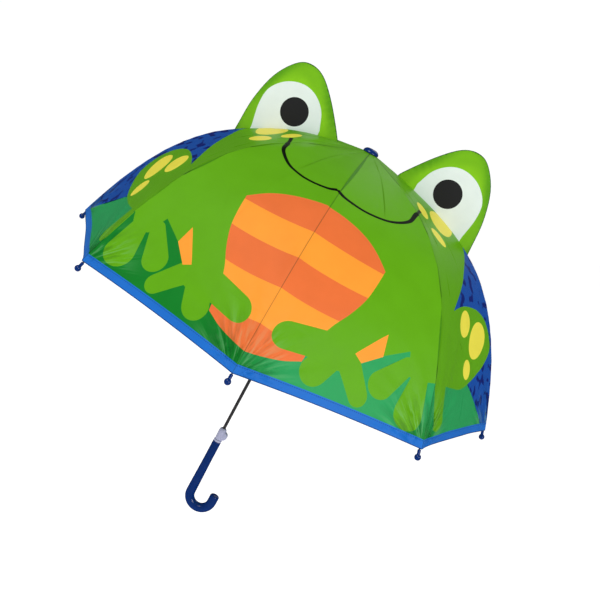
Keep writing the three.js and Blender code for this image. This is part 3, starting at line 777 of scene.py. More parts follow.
def corner_folds(tree, across, along, fan):
    """Sharp folds that run out of the canopy's corners: height, with painted shade on their dark sides and
    painted highlights on their bright sides.
    """
    link = tree.links.new
    up = math_node(tree, "SUBTRACT", (RIB_LENGTH + FOLD_START) * MM, along)
    turn = math_node(tree, "ARCTAN2", across, up)
    side = add_node(tree, "ShaderNodeSeparateXYZ")
    link(fan, side.inputs[0])
    place = add_node(tree, "ShaderNodeCombineXYZ")
    link(multiply(tree, turn, FOLD_TURNS), place.inputs["X"])
    link(multiply(tree, up, FOLD_STRETCH), place.inputs["Y"])
    link(multiply(tree, side.outputs["X"], FOLD_CHANGE), place.inputs["Z"])
    folds = cloudy(tree, place.outputs[0], 2.6, Detail=2).outputs["Fac"]
    near = add_node(tree, "ShaderNodeMapRange", interpolation_type="SMOOTHERSTEP")
    near.inputs["From Min"].default_value = FOLD_FAR
    near.inputs["From Max"].default_value = FOLD_NEAR
    spot = add_node(tree, "ShaderNodeCombineXYZ")
    link(across, spot.inputs["X"])
    link(up, spot.inputs["Y"])
    reach = add_node(tree, "ShaderNodeVectorMath", operation="LENGTH")
    link(spot.outputs[0], reach.inputs[0])
    link(reach.outputs["Value"], near.inputs["Value"])
    fade = near.outputs["Result"]
    height = multiply(tree, multiply(tree, folds, fade), up)
    shown = multiply(tree, fade, threshold(tree, up, (HEM_BAND + FOLD_START) * MM, 0.0008))
    # painted shade on the folds' dark sides and painted highlights on their bright sides
    dark = multiply(tree, threshold(tree, folds, 0.56, 0.05), shown)
    bright = multiply(tree, threshold(tree, math_node(tree, "SUBTRACT", 1, folds), 0.57, 0.035), shown)
    return height, dark, bright


SATIN_ROUGHNESS = (0.34, 0.48)
BLUE_ALPHA, GROUND_ALPHA = 1.0, 0.5  # the print's alpha tells its blue and its ground from the rest
BLOTCH_BLUE = (0, 28, 118)
# painted light: the lighter tint that the ground takes where light falls on the cloth
PAINTED_LIGHT_GROUND = (36, 160, 88)
HEM_STITCH_UP = 10.5  # millimetres from the canopy's edge
RIM_WIDTH = 1.2


def printed_colour(tree, fan):
    """Print's own colours, with dark blotches in its blue and painted light on its ground."""
    link = tree.links.new
    ink = add_node(tree, "ShaderNodeAttribute", attribute_name="Print")
    wobble = cloudy(tree, fan, 55)
    shift = add_node(tree, "ShaderNodeVectorMath", operation="MULTIPLY_ADD")
    link(wobble.outputs["Color"], shift.inputs[0])
    shift.inputs[1].default_value = (0.006, 0.006, 0)
    link(fan, shift.inputs[2])
    cells = cloudy(tree, shift.outputs[0], 66, Detail=1, Roughness=0.3)
    on_blue = threshold(tree, ink.outputs["Alpha"], 0.75, 0.05)
    blotch = multiply(tree, threshold(tree, cells.outputs["Fac"], 0.585, 0.012), on_blue)
    base = mix_colour(tree, blotch, ink.outputs["Color"], BLOTCH_BLUE)
    on_ground = math_node(tree, "COMPARE", ink.outputs["Alpha"], GROUND_ALPHA, 0.1)
    # painted light: the share of the lighter ground tint at each point
    through = add_node(tree, "ShaderNodeAttribute", attribute_name="PaintedLight").outputs["Fac"]
    return mix_colour(tree, multiply(tree, on_ground, through), base, PAINTED_LIGHT_GROUND)


def cloth_material(name, colour=None):
    """Satin of one colour, or printed when it has none: weave, slubs, stitches and seam lines."""
    material, tree, shader = new_material(name)
    link = tree.links.new
    cloth_map = add_node(tree, "ShaderNodeUVMap", uv_map="Cloth").outputs["UV"]
    if colour is None:
        parts = add_node(tree, "ShaderNodeSeparateXYZ")
        link(cloth_map, parts.inputs[0])
        across, along = parts.outputs["X"], parts.outputs["Y"]
        fan = add_node(tree, "ShaderNodeUVMap", uv_map="Fan").outputs["UV"]
        base = printed_colour(tree, fan)
        hem_line = line_mask(tree, along, (RIB_LENGTH - HEM_STITCH_UP) * MM, 0.0004)
        stitches = multiply(tree, hem_line, dashes(tree, across, 0.0032, 0.62))
        # the corner folds' bump height, with their painted shade and painted highlights
        folds, dark, bright = corner_folds(tree, across, along, fan)
        seam = line_mask(tree, across, 0, 0.0005)
        rim = threshold(tree, along, (RIB_LENGTH - RIM_WIDTH) * MM, 0.0003)
        # the folds' painted shade and painted highlights go into the colour here, with the stitches, seam
        # lines and rim
        for mask, strength, mark in (
            (stitches, 0.75, (6, 60, 130)), (dark, 0.36, (0, 70, 22)), (bright, 0.18, (150, 215, 160)),
            (seam, 0.45, (20, 60, 20)), (rim, 0.8, (6, 50, 110)),
        ):
            base = mix_colour(tree, multiply(tree, mask, strength), base, mark)
    else:
        rgb = add_node(tree, "ShaderNodeRGB")
        rgb.outputs[0].default_value = (*tint(colour), 1)
        base = rgb.outputs[0]
    grain = placed_group(tree, "Grain", cloth_map, Scale=26.0, Amount=0.16)
    link(base, grain.inputs["Color"])
    link(grain.outputs["Color"], shader.inputs["Base Color"])
    link(spread(tree, grain.outputs["Mask"], *SATIN_ROUGHNESS), shader.inputs["Roughness"])
    shader.inputs["Sheen Weight"].default_value = 0.01
    shader.inputs["Sheen Roughness"].default_value = 0.4
    shader.inputs["Specular IOR Level"].default_value = 0.18
    weave = placed_group(tree, "Weave", cloth_map, Threads=620.0)
    slubs = cloudy(tree, cloth_map, 42, Detail=3)
    relief = math_node(tree, "MULTIPLY_ADD", slubs.outputs["Fac"], 9, weave.outputs["Height"])
    if colour is None:
        relief = math_node(tree, "MULTIPLY_ADD", folds, FOLD_HEIGHT, relief)
        relief = math_node(tree, "MULTIPLY_ADD", stitches, -3, relief)
    bump(tree, shader, relief, 0.25, 0.00012)
    return material


# Satins: their one colour, or none for the print.
SATINS = {
    "printed satin": None,
    "plain satin": (70, 140, 15),
    "strap satin": (20, 95, 180),
}
# Hard finishes: colour, metallic, roughness from and to, grain scale, grain amount, relief and coat.
HARD_FINISHES = {
    "eye piping": ((34, 96, 8), 0, 0.45, 0.65, 300, 0.35, 0.4),
    "navy plastic": ((1, 44, 112), 0, 0.14, 0.26, 70, 0.18, 0.05, 0.25),
    "lavender plastic": ((176, 178, 208), 0, 0.28, 0.42, 90, 0.1, 0.08, 0.2),
    "black plastic": ((26, 26, 30), 0, 0.35, 0.55, 160, 0.25, 0.2),
    "dark steel": ((128, 126, 130), 0.85, 0.26, 0.42, 240, 0.25, 0.12),
    "bright steel": ((165, 167, 170), 0.9, 0.28, 0.5, 260, 0.3, 0.15),
}
MATERIALS = {}


def finish(name):
    """Material of one finish, made when it is first wanted."""
    if name not in MATERIALS and name in SATINS:
        MATERIALS[name] = cloth_material(name, SATINS[name])
    elif name not in MATERIALS:
        MATERIALS[name] = hard_material(name, *HARD_FINISHES[name])
    return MATERIALS[name]


# ---- Pieces ----
UNDERSIDE = 0.62  # the print's brightness on the cloth's inner side


def set_normals(piece, normals):
    piece.data.polygons.foreach_set("use_smooth", [True] * len(piece.data.polygons))
    piece.data.normals_split_custom_set_from_vertices(normals)


def lay_out(mesh, name, places):
    """Cloth map from the places of one layer's points; the second layer has the same."""
    layer = mesh.uv_layers.new(name=name)
    for loop in mesh.loops:
        layer.data[loop.index].uv = places[loop.vertex_index % len(places)]


def ink_in(mesh, ink_at):
    """Print layer, from the colour at a face's number and a point's number."""
    layer = mesh.color_attributes.new(name="Print", type="FLOAT_COLOR", domain="CORNER")
    for polygon in mesh.polygons:
        for loop in polygon.loop_indices:
            layer.data[loop].color = ink_at(polygon.index, mesh.loops[loop].vertex_index)


def cloth_piece(name, top, normals, faces, maps, colours=(), painted_light_levels=()):
    """Two-sided thin cloth from its outer layer; colours and maps go with it."""
    count = len(top)
    under = [p - n * CLOTH for p, n in zip(top, normals)]
    inner_faces = [tuple(i + count for i in reversed(face)) for face in faces]
    rim = rim_faces(faces, count)
    piece = new_piece(name, top + under, faces + inner_faces + rim)
    for map_name, places in maps.items():
        lay_out(piece.data, map_name, places)
    if colours:
        inner = [tuple(c * UNDERSIDE for c in colour[:3]) + colour[3:] for colour in colours]
        whole = colours + inner + [colours[0]] * len(rim)
        ink_in(piece.data, lambda face, point: whole[face])
        # painted light: the share of the lighter ground tint at each point
        values = piece.data.attributes.new(name="PaintedLight", type="FLOAT", domain="POINT")
        for i, item in enumerate(values.data):
            item.value = painted_light_levels[i % count]
    set_normals(piece, normals + [-n for n in normals])
    return piece


def outward_at(azimuth, length):
    return (on_cloth(azimuth, length) - on_cloth(azimuth, length, 1)).normalized()


def squash_half(piece, rib, side, last):
    """Gives the piece its own mesh; the edge and ridge points for gathering the half panel against its rib
    are worked out but not used.
    """
    edge = on_cloth(RIB_TURN * rib + side * HALF_PANEL, last)
    ridge = on_cloth(RIB_TURN * rib, last)
    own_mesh(piece)


def colour_setting(name, description, value):
    return bpy.props.FloatVectorProperty(
        name=name, description=description, subtype="COLOR", size=3, default=tint(value))


def length_setting(name, description, value, **limits):
    return bpy.props.FloatProperty(
        name=name, description=description, default=value * MM, unit="LENGTH", **limits)


class CanopySettings(bpy.types.PropertyGroup):
    grid: length_setting(
        "Cloth Grid", "Distance between the cloth's inner points", 7.5, min=4 * MM, max=20 * MM)
    skin: colour_setting("Frog Green", "Colour of the frog's body", (95, 168, 2))
    ground: colour_setting("Grass Green", "Colour of the ground under the frog", (2, 126, 34))
    blue: colour_setting("Pond Blue", "Colour between the frog and the grass", (8, 78, 168))
    belly: colour_setting("Belly Dark", "Darker stripes of the belly", (232, 112, 52))
    stripe: colour_setting("Belly Light", "Lighter stripes of the belly", (254, 156, 48))
    spot: colour_setting("Spot Yellow", "Spots on the cheeks and legs", (240, 228, 72))
    line: colour_setting("Mouth Black", "Drawn line of the mouth", (6, 10, 4))
    hem: colour_setting("Hem Blue", "Band along the canopy's edge", (22, 108, 200))


class EyeSettings(bpy.types.PropertyGroup):
    green: colour_setting("Eye Green", "Cloth round the white of the eyes", (132, 198, 20))
    white: colour_setting("Eye White", "White of the eyes", (226, 236, 232))
    pupil: colour_setting("Pupil", "Pupils", (38, 38, 40))
    piping: length_setting("Piping", "Thickness of the eyes' piped edge", 2)


class HandleSettings(bpy.types.PropertyGroup):
    grip: length_setting("Grip", "Thickness of the handle", 13.3)
    shaft: length_setting("Shaft", "Thickness of the shaft", 5)
    crook: length_setting("Crook", "Radius of the crook's middle line", 19)


class StageSettings(bpy.types.PropertyGroup):
    key: bpy.props.FloatProperty(
        name="Key Light", description="Power of the main soft light", default=26, unit="POWER")
    fill: bpy.props.FloatProperty(
        name="Fill Light", description="Power of the weaker soft light", default=13, unit="POWER")
    surround: bpy.props.FloatProperty(
        name="Surround", description="Brightness of the pale surroundings", default=0.62)
    mirrored: bpy.props.FloatProperty(
        name="Mirrored Surround", description="Brightness of the surroundings in reflections", default=0.03)


CAMERA_PLACE = (0.08569, -1.37111, 0.61424)
CAMERA_RIGHT = (0.874892, 0.149137, 0.460784)
CAMERA_UP = (-0.481332, 0.162253, 0.861391)
CAMERA_LENS = 55.49
LIGHT_AIM = (0, 0, 0.4)
REAR_SHARE = 0.6  # power of the rear light against the fill light
BACKDROP = 1.05  # brightness of the surroundings as the camera sees them
FLOOR_Z = -0.6


def add_camera(scene):
    camera_data = bpy.data.cameras.new("camera")
    camera_data.lens = CAMERA_LENS
    camera_data.sensor_width = 36
    camera = bpy.data.objects.new("camera", camera_data)
    scene.collection.objects.link(camera)
    right, up = Vector(CAMERA_RIGHT), Vector(CAMERA_UP)
    turn = Matrix((right, up, right.cross(up))).transposed().to_4x4()
    camera.matrix_world = Matrix.Translation(CAMERA_PLACE) @ turn
    scene.camera = camera


def add_light(scene, name, place, size, power):
    light_data = bpy.data.lights.new(name, "AREA")
    light_data.size = size
    light_data.energy = power
    light = bpy.data.objects.new(name, light_data)
    scene.collection.objects.link(light)
    aim = Vector(LIGHT_AIM) - Vector(place)
    light.matrix_world = Matrix.Translation(place) @ aim.to_track_quat("-Z", "Y").to_matrix().to_4x4()


def add_surround(scene, brightness, mirrored):
    """Pale surroundings, with a brightness for the camera, for reflections and for the light they give."""
    world = bpy.data.worlds.new("surround")
    scene.world = world
    world.use_nodes = True
    tree = world.node_tree
    background = tree.nodes["Background"]
    seen = add_node(tree, "ShaderNodeLightPath")
    level = add_node(tree, "ShaderNodeMapRange")
    level.inputs["To Max"].default_value = BACKDROP
    mirrored_level = add_node(tree, "ShaderNodeMapRange")
    mirrored_level.inputs["To Min"].default_value = brightness
    mirrored_level.inputs["To Max"].default_value = mirrored
    tree.links.new(seen.outputs["Is Glossy Ray"], mirrored_level.inputs["Value"])
    tree.links.new(mirrored_level.outputs["Result"], level.inputs["To Min"])
    tree.links.new(seen.outputs["Is Camera Ray"], level.inputs["Value"])
    tree.links.new(level.outputs["Result"], background.inputs["Strength"])
    background.inputs["Color"].default_value = (1, 1, 1, 1)
    scene.view_settings.view_transform = "Standard"


def floor_material():
    """Pale floor that can't be seen from below."""
    material, tree, shader = new_material("pale floor")
    hidden = add_node(tree, "ShaderNodeBsdfTransparent")
    under = add_node(tree, "ShaderNodeNewGeometry")
    blend = add_node(tree, "ShaderNodeMixShader")
    tree.links.new(under.outputs["Backfacing"], blend.inputs["Fac"])
    tree.links.new(shader.outputs["BSDF"], blend.inputs[1])
    tree.links.new(hidden.outputs["BSDF"], blend.inputs[2])
    tree.links.new(blend.outputs["Shader"], tree.nodes["Material Output"].inputs["Surface"])
    place = add_node(tree, "ShaderNodeTexCoord").outputs["Object"]
    grain = placed_group(tree, "Grain", place, Color=(0.92, 0.92, 0.92, 1), Scale=2.0, Amount=0.02)
    tree.links.new(grain.outputs["Color"], shader.inputs["Base Color"])
    shader.inputs["Roughness"].default_value = 0.9
    shader.inputs["Emission Color"].default_value = (1, 1, 1, 1)
    shader.inputs["Emission Strength"].default_value = 0.5
    return material


class UMBRELLA_OT_stage(bpy.types.Operator):
    """Camera, soft studio lights, pale surroundings and floor"""
    bl_idname = "umbrella.stage"
    bl_label = "Stage"

    def execute(self, context):
        settings = context.scene.umbrella_stage
        scene = context.scene
        add_camera(scene)
        add_light(scene, "key", (-1.3, -1.9, 2.5), 1.3, settings.key)
        add_light(scene, "fill", (1.7, -1.75, 1.15), 0.9, settings.fill)
        add_light(scene, "rear", (0.6, 2.0, 2.2), 1.8, settings.fill * REAR_SHARE)
        add_surround(scene, settings.surround, settings.mirrored)
        deselect()
        bpy.ops.mesh.primitive_circle_add(vertices=64, radius=40, fill_type="NGON", location=(0, 0, 0))
        floor = context.object
        floor.name = "floor"
        floor.data.transform(Matrix.Translation((0, 0, FLOOR_Z)))
        floor.data.materials.append(floor_material())
        floor.visible_glossy = False
        return {"FINISHED"}


ROW_SHARE = 0.866  # distance between the grid's rows against that between its points
EDGE_CLEAR = 2  # millimetres that the grid keeps from the canopy's edges
REAR_CLEAR = 179.5  # degrees, short of the rear rib where the fan is cut
FLAT_SPARE = 1.6  # width of a panel's flat sheet against its mean width


def canopy_cells():
    """Half panels above and below the ribs' pivots: rib, side, part, two lengths and the first azimuth."""
    cells = []
    for k in RIB_BODIES:
        rib = k if k < RIB_COUNT / 2 else k - RIB_COUNT
        rear = rib == -RIB_COUNT / 2
        for side in (-1, 1):
            turn = rib * RIB_TURN if not rear or side > 0 else -rib * RIB_TURN
            start = turn if side > 0 else turn - HALF_PANEL
            cells.append((k, side, "inner", HOLE_R, PIVOT_ALONG, start))
            cells.append((k, side, "outer", PIVOT_ALONG, RIB_LENGTH, start))
    return cells


def fan_grid(step):
    """Points all over the fan, clear of its edges, for even triangles."""
    spare = []
    for row in range(int(2 * RIB_LENGTH / (step * ROW_SHARE))):
        y = -RIB_LENGTH + row * step * ROW_SHARE
        for column in range(int(2 * RIB_LENGTH / step) + 1):
            x = -RIB_LENGTH + column * step + (row % 2) * step / 2
            azimuth, length = from_fan(x, y)
            if HOLE_R + EDGE_CLEAR < length < RIB_LENGTH - EDGE_CLEAR and abs(azimuth) < REAR_CLEAR:
                spare.append((x, y))
    return spare


def top_ink(names):
    """Colour name that shows where the named areas lie over one another."""
    chosen = "ground"
    for name in names:
        if name != "band":
            chosen = name
        elif chosen == "belly":
            chosen = "stripe"
    return chosen


class UMBRELLA_OT_canopy(bpy.types.Operator):
    """Printed cloth panels of the canopy, each half panel a piece on its rib"""
    bl_idname = "umbrella.canopy"
    bl_label = "Canopy"

    def execute(self, context):
        settings = context.scene.umbrella_canopy
        cells = canopy_cells()
        cell_outlines = [fan_cell(start, first, last) for *_, first, last, start in cells]
        regions = print_regions()
        regions += [(fan_cell(start, RIB_LENGTH - HEM_BAND, RIB_LENGTH + 1), "hem")
                    for _, _, part, *_, start in cells if part == "outer"]
        outlines = cell_outlines + [outline for outline, _ in regions]
        points, triangles, inside = triangulate(outlines, fan_grid(settings.grid / MM))
        inks = {name: (*getattr(settings, name), {"blue": BLUE_ALPHA, "ground": GROUND_ALPHA}.get(name, 0.0))
                for name in ("skin", "ground", "blue", "belly", "stripe", "spot", "line", "hem")}
        members = [([], []) for _ in cells]
        for triangle, found in zip(triangles, inside):
            cell = next((i for i in found if i < len(cells)), None)
            if cell is not None:
                here = sorted(i - len(cells) for i in found if i >= len(cells))
                members[cell][0].append(tuple(reversed(triangle)))
                members[cell][1].append(inks[top_ink(regions[i][1] for i in here)])
        for cell, (own, colours) in zip(cells, members):
            self.panel(cell, points, own, colours)
        return {"FINISHED"}

    def panel(self, cell, points, triangles, colours):
        k, side, part, first, last, start = cell
        numbers, faces = own_points(triangles)
        flat = [points[i] for i in numbers]
        middle = start + HALF_PANEL / 2
        rib_turn = start if side > 0 else start + HALF_PANEL
        placed = [cloth_frame(x, y, middle) for x, y in flat]
        top = [p for p, _ in placed]
        normals = [n for _, n in placed]
        faces = facing(top, faces, normals[faces[0][0]])
        cloth_map = []
        for x, y in flat:
            azimuth, length = from_fan(x, y)
            across = length * math.sin(math.radians((azimuth - rib_turn) * FAN_SHARE))
            cloth_map.append((across * MM, length * MM))
        maps = {"Cloth": cloth_map, "Fan": [(x * MM, y * MM) for x, y in flat]}
        name = f"canopy_{part}_{k}_{'right' if side > 0 else 'left'}"
        # painted light on the ground, point by point
        painted_light_levels = [painted_ground_light(x, y, middle) for x, y in flat]
        piece = cloth_piece(name, top, normals, faces, maps, colours, painted_light_levels)
        finish_piece(piece, name, finish("printed satin"), f"{part}_rib_{k}",
                     [f"canopy_sector_{k}"])
        area = sheet_area(top, faces)
        width = max(area / (last - first) * FLAT_SPARE, 60)
        length = max(last - first, area / width * 1.02)
        squash_half(piece, k, side, last)


TAPE_HALF = 5
TAPE_DEPTH = 1.3
TAPE_START = 14  # from the apex, clear of the crown
TAPE_ROWS, TAPE_COLUMNS = 24, 4


class UMBRELLA_OT_seams(bpy.types.Operator):
    """Taped seams under the canopy's ridges"""
    bl_idname = "umbrella.seams"
    bl_label = "Seams"

    def execute(self, context):
        for k in RIB_BODIES:
            for part, first, last in (("inner", TAPE_START, PIVOT_ALONG),
                                      ("outer", PIVOT_ALONG, RIB_LENGTH - EDGE_CLEAR)):
                top, normals, cloth_map = [], [], []
                for row in range(TAPE_ROWS + 1):
                    length = first + (last - first) * row / TAPE_ROWS
                    radius = max(on_profile(length)[0], 12)
                    for column in range(TAPE_COLUMNS + 1):
                        across = TAPE_HALF * (column - 2) / 2
                        azimuth = k * RIB_TURN + math.degrees(across / radius)
                        top.append(on_cloth(azimuth, length, TAPE_DEPTH))
                        normals.append(outward_at(azimuth, length))
                        cloth_map.append((across * MM, length * MM))
                faces = facing(top, grid_faces(TAPE_ROWS, TAPE_COLUMNS), normals[0])
                name = f"seam_tape_{part}_{k}"
                piece = cloth_piece(name, top, normals, faces, {"Cloth": cloth_map})
                look = finish("strap satin" if 2 < k < 6 else "plain satin")
                finish_piece(piece, name, look, f"{part}_rib_{k}",
                             [f"canopy_sector_{k}"])
                area = sheet_area(top, faces)
                width = 2 * TAPE_HALF + 0.2
                length = max(last - first, area / width * 1.01)
        return {"FINISHED"}


# Eye's arch in the plane of a side rib: distance from the shaft as a share of the open radius, and rise
# over the ridge.
EYE_ARCH_SHARES = [
    (0.147, -1.5), (0.158, 8.0), (0.246, 55.5), (0.326, 90.7), (0.394, 106.0), (0.451, 105.1), (0.511, 85.3),
    (0.546, 49.0), (0.556, 8.0), (0.558, -3.0),
]
# White and pupil: distance from the shaft, height over the hem; the pupil's third number is its radius.
EYE_WHITE = [
    (80, 215), (81.5, 276), (92.8, 302.5), (112, 319.5), (134.5, 324.3), (159, 316), (177, 296), (180.5, 270),
    (175.5, 237), (174, 180),
]
PUPIL = (127.4, 283.2, 21.3)
EYE_FOOT_SINK = 1.5
EYE_MIDDLE = (128, 400)
EYE_SHADE = (88, 158, 8)  # green where the cloth darkens towards the piping
EYE_RIM_HALF, EYE_SWELL, EYE_FOOT_SWELL = 0.9, 2.0, 1.2  # half thickness at the piping, and its growth


def eye_arch():
    points = []
    for share, rise in EYE_ARCH_SHARES:
        radius = share * OPEN_RADIUS
        points.append((radius, ridge_height(radius) + rise))
    return smooth_outline(points, steps=10, closed=False)


def eye_foot(first, last, steps=30):
    """Lower edge of an eye, a little under the ridge, from its outer end to its inner one."""
    radii = [last + (first - last) * i / steps for i in range(1, steps)]
    return [(radius, ridge_height(radius) - EYE_FOOT_SINK) for radius in radii]


def eye_grid():
    """Points all over an eye, for even triangles."""
    return [(52 + i * 2.5 + (j % 2) * 1.25, 470 + j * 4.2) for i in range(60) for j in range(40)]


def eye_half(r, z, nearest):
    """Half thickness of an eye at a point and its distance from the arch, with its soft folds."""
    swell = 1 - math.exp(-nearest / 16)
    base = max(0.0, 1 - (z - ridge_height(r)) / 90)
    fold = math.sin(r / 7.5 + z / 26) * 0.45 * (1 - math.exp(-max(0.0, 150 - abs(r - EYE_MIDDLE[0])) / 60))
    return EYE_RIM_HALF + EYE_SWELL * swell + EYE_FOOT_SWELL * base * swell + fold * 0.6


def eye_green(r, z, nearest, light, deep):
    """Green of an eye's cloth, with painted shade: darker towards the piping and in short folds across it."""
    share = min(nearest / 20, 1) ** 0.8
    turn = math.atan2(z - EYE_MIDDLE[1], r - EYE_MIDDLE[0])
    share = min(max(share + 0.28 * math.sin(turn * 13) * math.sin(nearest / 5 + 1), 0), 1)
    return tuple(d + (l - d) * share for d, l in zip(deep, light))


class UMBRELLA_OT_eyes(bpy.types.Operator):
    """Stand-up eyes: two cloth faces with the printed eye in front and a piped rim"""
    bl_idname = "umbrella.eyes"
    bl_label = "Eyes"

    def execute(self, context):
        settings = context.scene.umbrella_eyes
        arch = eye_arch()
        first, last = arch[0][0], arch[-1][0]
        outline = arch + eye_foot(first, last)
        white = smooth_outline([(r, z + HEM_Z) for r, z in EYE_WHITE], corners=(0, 1, 8, 9))
        pupil = ellipse(PUPIL[0], PUPIL[1] + HEM_Z, PUPIL[2], PUPIL[2], steps=64)
        points, triangles, inside = triangulate([outline, white, pupil], eye_grid())
        kept = [(triangle, found) for triangle, found in zip(triangles, inside) if 0 in found]
        numbers, faces = own_points([triangle for triangle, _ in kept])
        flat = [points[i] for i in numbers]
        count = len(flat)
        pale, black = (*settings.white, 0.0), (*settings.pupil, 0.0)
        drawn = [black if 2 in found else pale if 1 in found else None for _, found in kept]
        light, deep = (*settings.green, 0.0), (*tint(EYE_SHADE), 0.0)
        nearest = [min(math.hypot(r - a, z - b) for a, b in arch[::2]) for r, z in flat]
        half = [eye_half(r, z, near) for (r, z), near in zip(flat, nearest)]
        # painted shade on the eyes' green cloth
        greens = [eye_green(r, z, near, light, deep) for (r, z), near in zip(flat, nearest)]
        for rib, side_name, turn in ((2, "right", 1), (6, "left", -1)):
            front = [Vector((turn * r, -h, z)) for (r, z), h in zip(flat, half)]
            back = [Vector((turn * r, h, z)) for (r, z), h in zip(flat, half)]
            front_faces = facing(front, faces, Vector((0, -1, 0)))
            back_faces = [tuple(i + count for i in reversed(face)) for face in front_faces]
            rim = rim_faces(front_faces, count)
            name = f"eye_{side_name}"
            piece = new_piece(name, front + back, front_faces + back_faces + rim)
            whole = drawn + [None] * (len(back_faces) + len(rim))
            ink_in(piece.data, lambda face, point: whole[face] or greens[point % count])
            for map_name, offset in (("Cloth", 0.1), ("Fan", 0.0)):
                lay_out(piece.data, map_name, [(r * MM + offset, (z - EYE_MIDDLE[1]) * MM) for r, z in flat])
            smooth_by_angle(piece, 50)
            finish_piece(piece, name, finish("printed satin"), f"inner_rib_{rib}",
                         [f"eye_cloth_{side_name}"])
            piping = rod([(turn * r, 0, z) for r, z in arch[::2] + [arch[-1]]], settings.piping / MM / 2)
            smooth_by_angle(piping, 60)
            finish_piece(piping, f"eye_piping_{side_name}", finish("eye piping"), f"inner_rib_{rib}",
                         [f"eye_wire_{side_name}"])
            for part in (piece, piping):
                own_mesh(part)
        return {"FINISHED"}


TIP_BALL_R = 4.35
TIP_BALL_Z = 10.5
TIP_NECK_R = 2.2


class UMBRELLA_OT_tips(bpy.types.Operator):
    """Ball-ended plastic tips on the ends of the ribs"""
    bl_idname = "umbrella.tips"
    bl_label = "Tips"

    def execute(self, context):
        neck, end, steps = math.asin(TIP_NECK_R / TIP_BALL_R), math.pi - 0.2, 12
        turns = [neck + (end - neck) * i / steps for i in range(steps + 1)]
        ball = [(TIP_BALL_R * math.sin(t), TIP_BALL_Z - TIP_BALL_R * math.cos(t)) for t in turns]
        mouth = [(1.6, 6.2), (1.6, 1.1), (1.9, 0.8), (2.25, 1.0), (2.3, 1.6)]
        tip = turned_piece(mouth + [(TIP_NECK_R, 2.4), (TIP_NECK_R, 5.6)] + ball, 28)
        smooth_by_angle(tip, 40)
        corner = on_profile(RIB_LENGTH, RIB_DROP)
        tip.data.transform(Matrix.Rotation(math.pi - HEM_LEAN, 4, "Y"))
        tip.data.transform(Matrix.Translation((corner[0] * MM, 0, corner[1] * MM)))
        for k in RIB_BODIES:
            copy = turned_copy(tip, k)
            finish_piece(copy, f"tip_{k}", finish("navy plastic"), f"outer_rib_{k}",
                         [f"rib_tip_{k}"])
        bpy.data.objects.remove(tip, do_unlink=True)
        return {"FINISHED"}


SHAFT_WALL = 0.6
WINDOW_SIZE = (3, 1.8, 9.1)
WINDOW_X = 2.2
WINDOW_DROP = 11.2  # middle of the catch's window below the catch's top


class UMBRELLA_OT_shaft(bpy.types.Operator):
    """Thin steel shaft with its pins and the catch's window"""
    bl_idname = "umbrella.shaft"
    bl_label = "Shaft"

    def execute(self, context):
        low, high = box_mm("shaft_tube")
        radius = context.scene.umbrella_handle.shaft / MM / 2
        bore = radius - SHAFT_WALL
        shaft = turned_piece([(bore, low[2]), (radius, low[2]), (radius, high[2] - 0.3),
                              (radius - 0.2, high[2]), (bore, high[2])], 36, closed=True)
        _, catch_high = box_mm("top_catch")
        deselect()
        bpy.ops.mesh.primitive_cube_add(
            size=1, location=(WINDOW_X * MM, 0, (catch_high[2] - WINDOW_DROP) * MM),
            scale=[v * MM for v in WINDOW_SIZE])
        shaft = boolean(shaft, bpy.context.object, "DIFFERENCE")
        smooth_by_angle(shaft, 30)
        finish_piece(shaft, "shaft", finish("dark steel"), "shaft_and_handle", ["shaft_tube"])
        for node in ("handle_pin", "stop_pin", "crown_pin", "crown_wire"):
            eased_piece(node, 0.12, "bright steel", "shaft_and_handle")
        return {"FINISHED"}


SHAFT_HOLE = 2.8  # radius of the turned plastic pieces' holes
GRIP_TOP = 49
CROOK_Z = -46.5  # middle of the crook's half circle
CROOK_RISE = 10.5  # straight length past it
FLANGE = 3.4
FLANGE_GAP = 0.2
LUG_Z = 61.5


def drawn_crook(grip, crook):
    """Bend the grip's lower end round a half circle and close it with a rounded end."""
    activate(grip)
    bpy.ops.object.mode_set(mode="EDIT")
    bpy.ops.mesh.select_all(action="DESELECT")
    bpy.ops.object.mode_set(mode="OBJECT")
    for polygon in grip.data.polygons:
        polygon.select = polygon.center.z < (CROOK_Z + 0.1) * MM and abs(polygon.normal.z) > 0.9
    bpy.ops.object.mode_set(mode="EDIT")
    bpy.ops.mesh.select_mode(type="FACE")
    bpy.ops.mesh.spin(steps=28, angle=math.pi, center=(crook * MM, 0, CROOK_Z * MM), axis=(0, 1, 0))
    z, scale = CROOK_Z, 1.0
    for past, next_scale in ((0, 1.0), (1.2, 0.965), (2.2, 0.87), (2.8, 0.73), (3.0, 0.56)):
        next_z = CROOK_Z + CROOK_RISE + past
        draw_out(next_z - z, next_scale / scale, (2 * crook * MM, 0, next_z * MM))
        z, scale = next_z, next_scale
    end_turning()


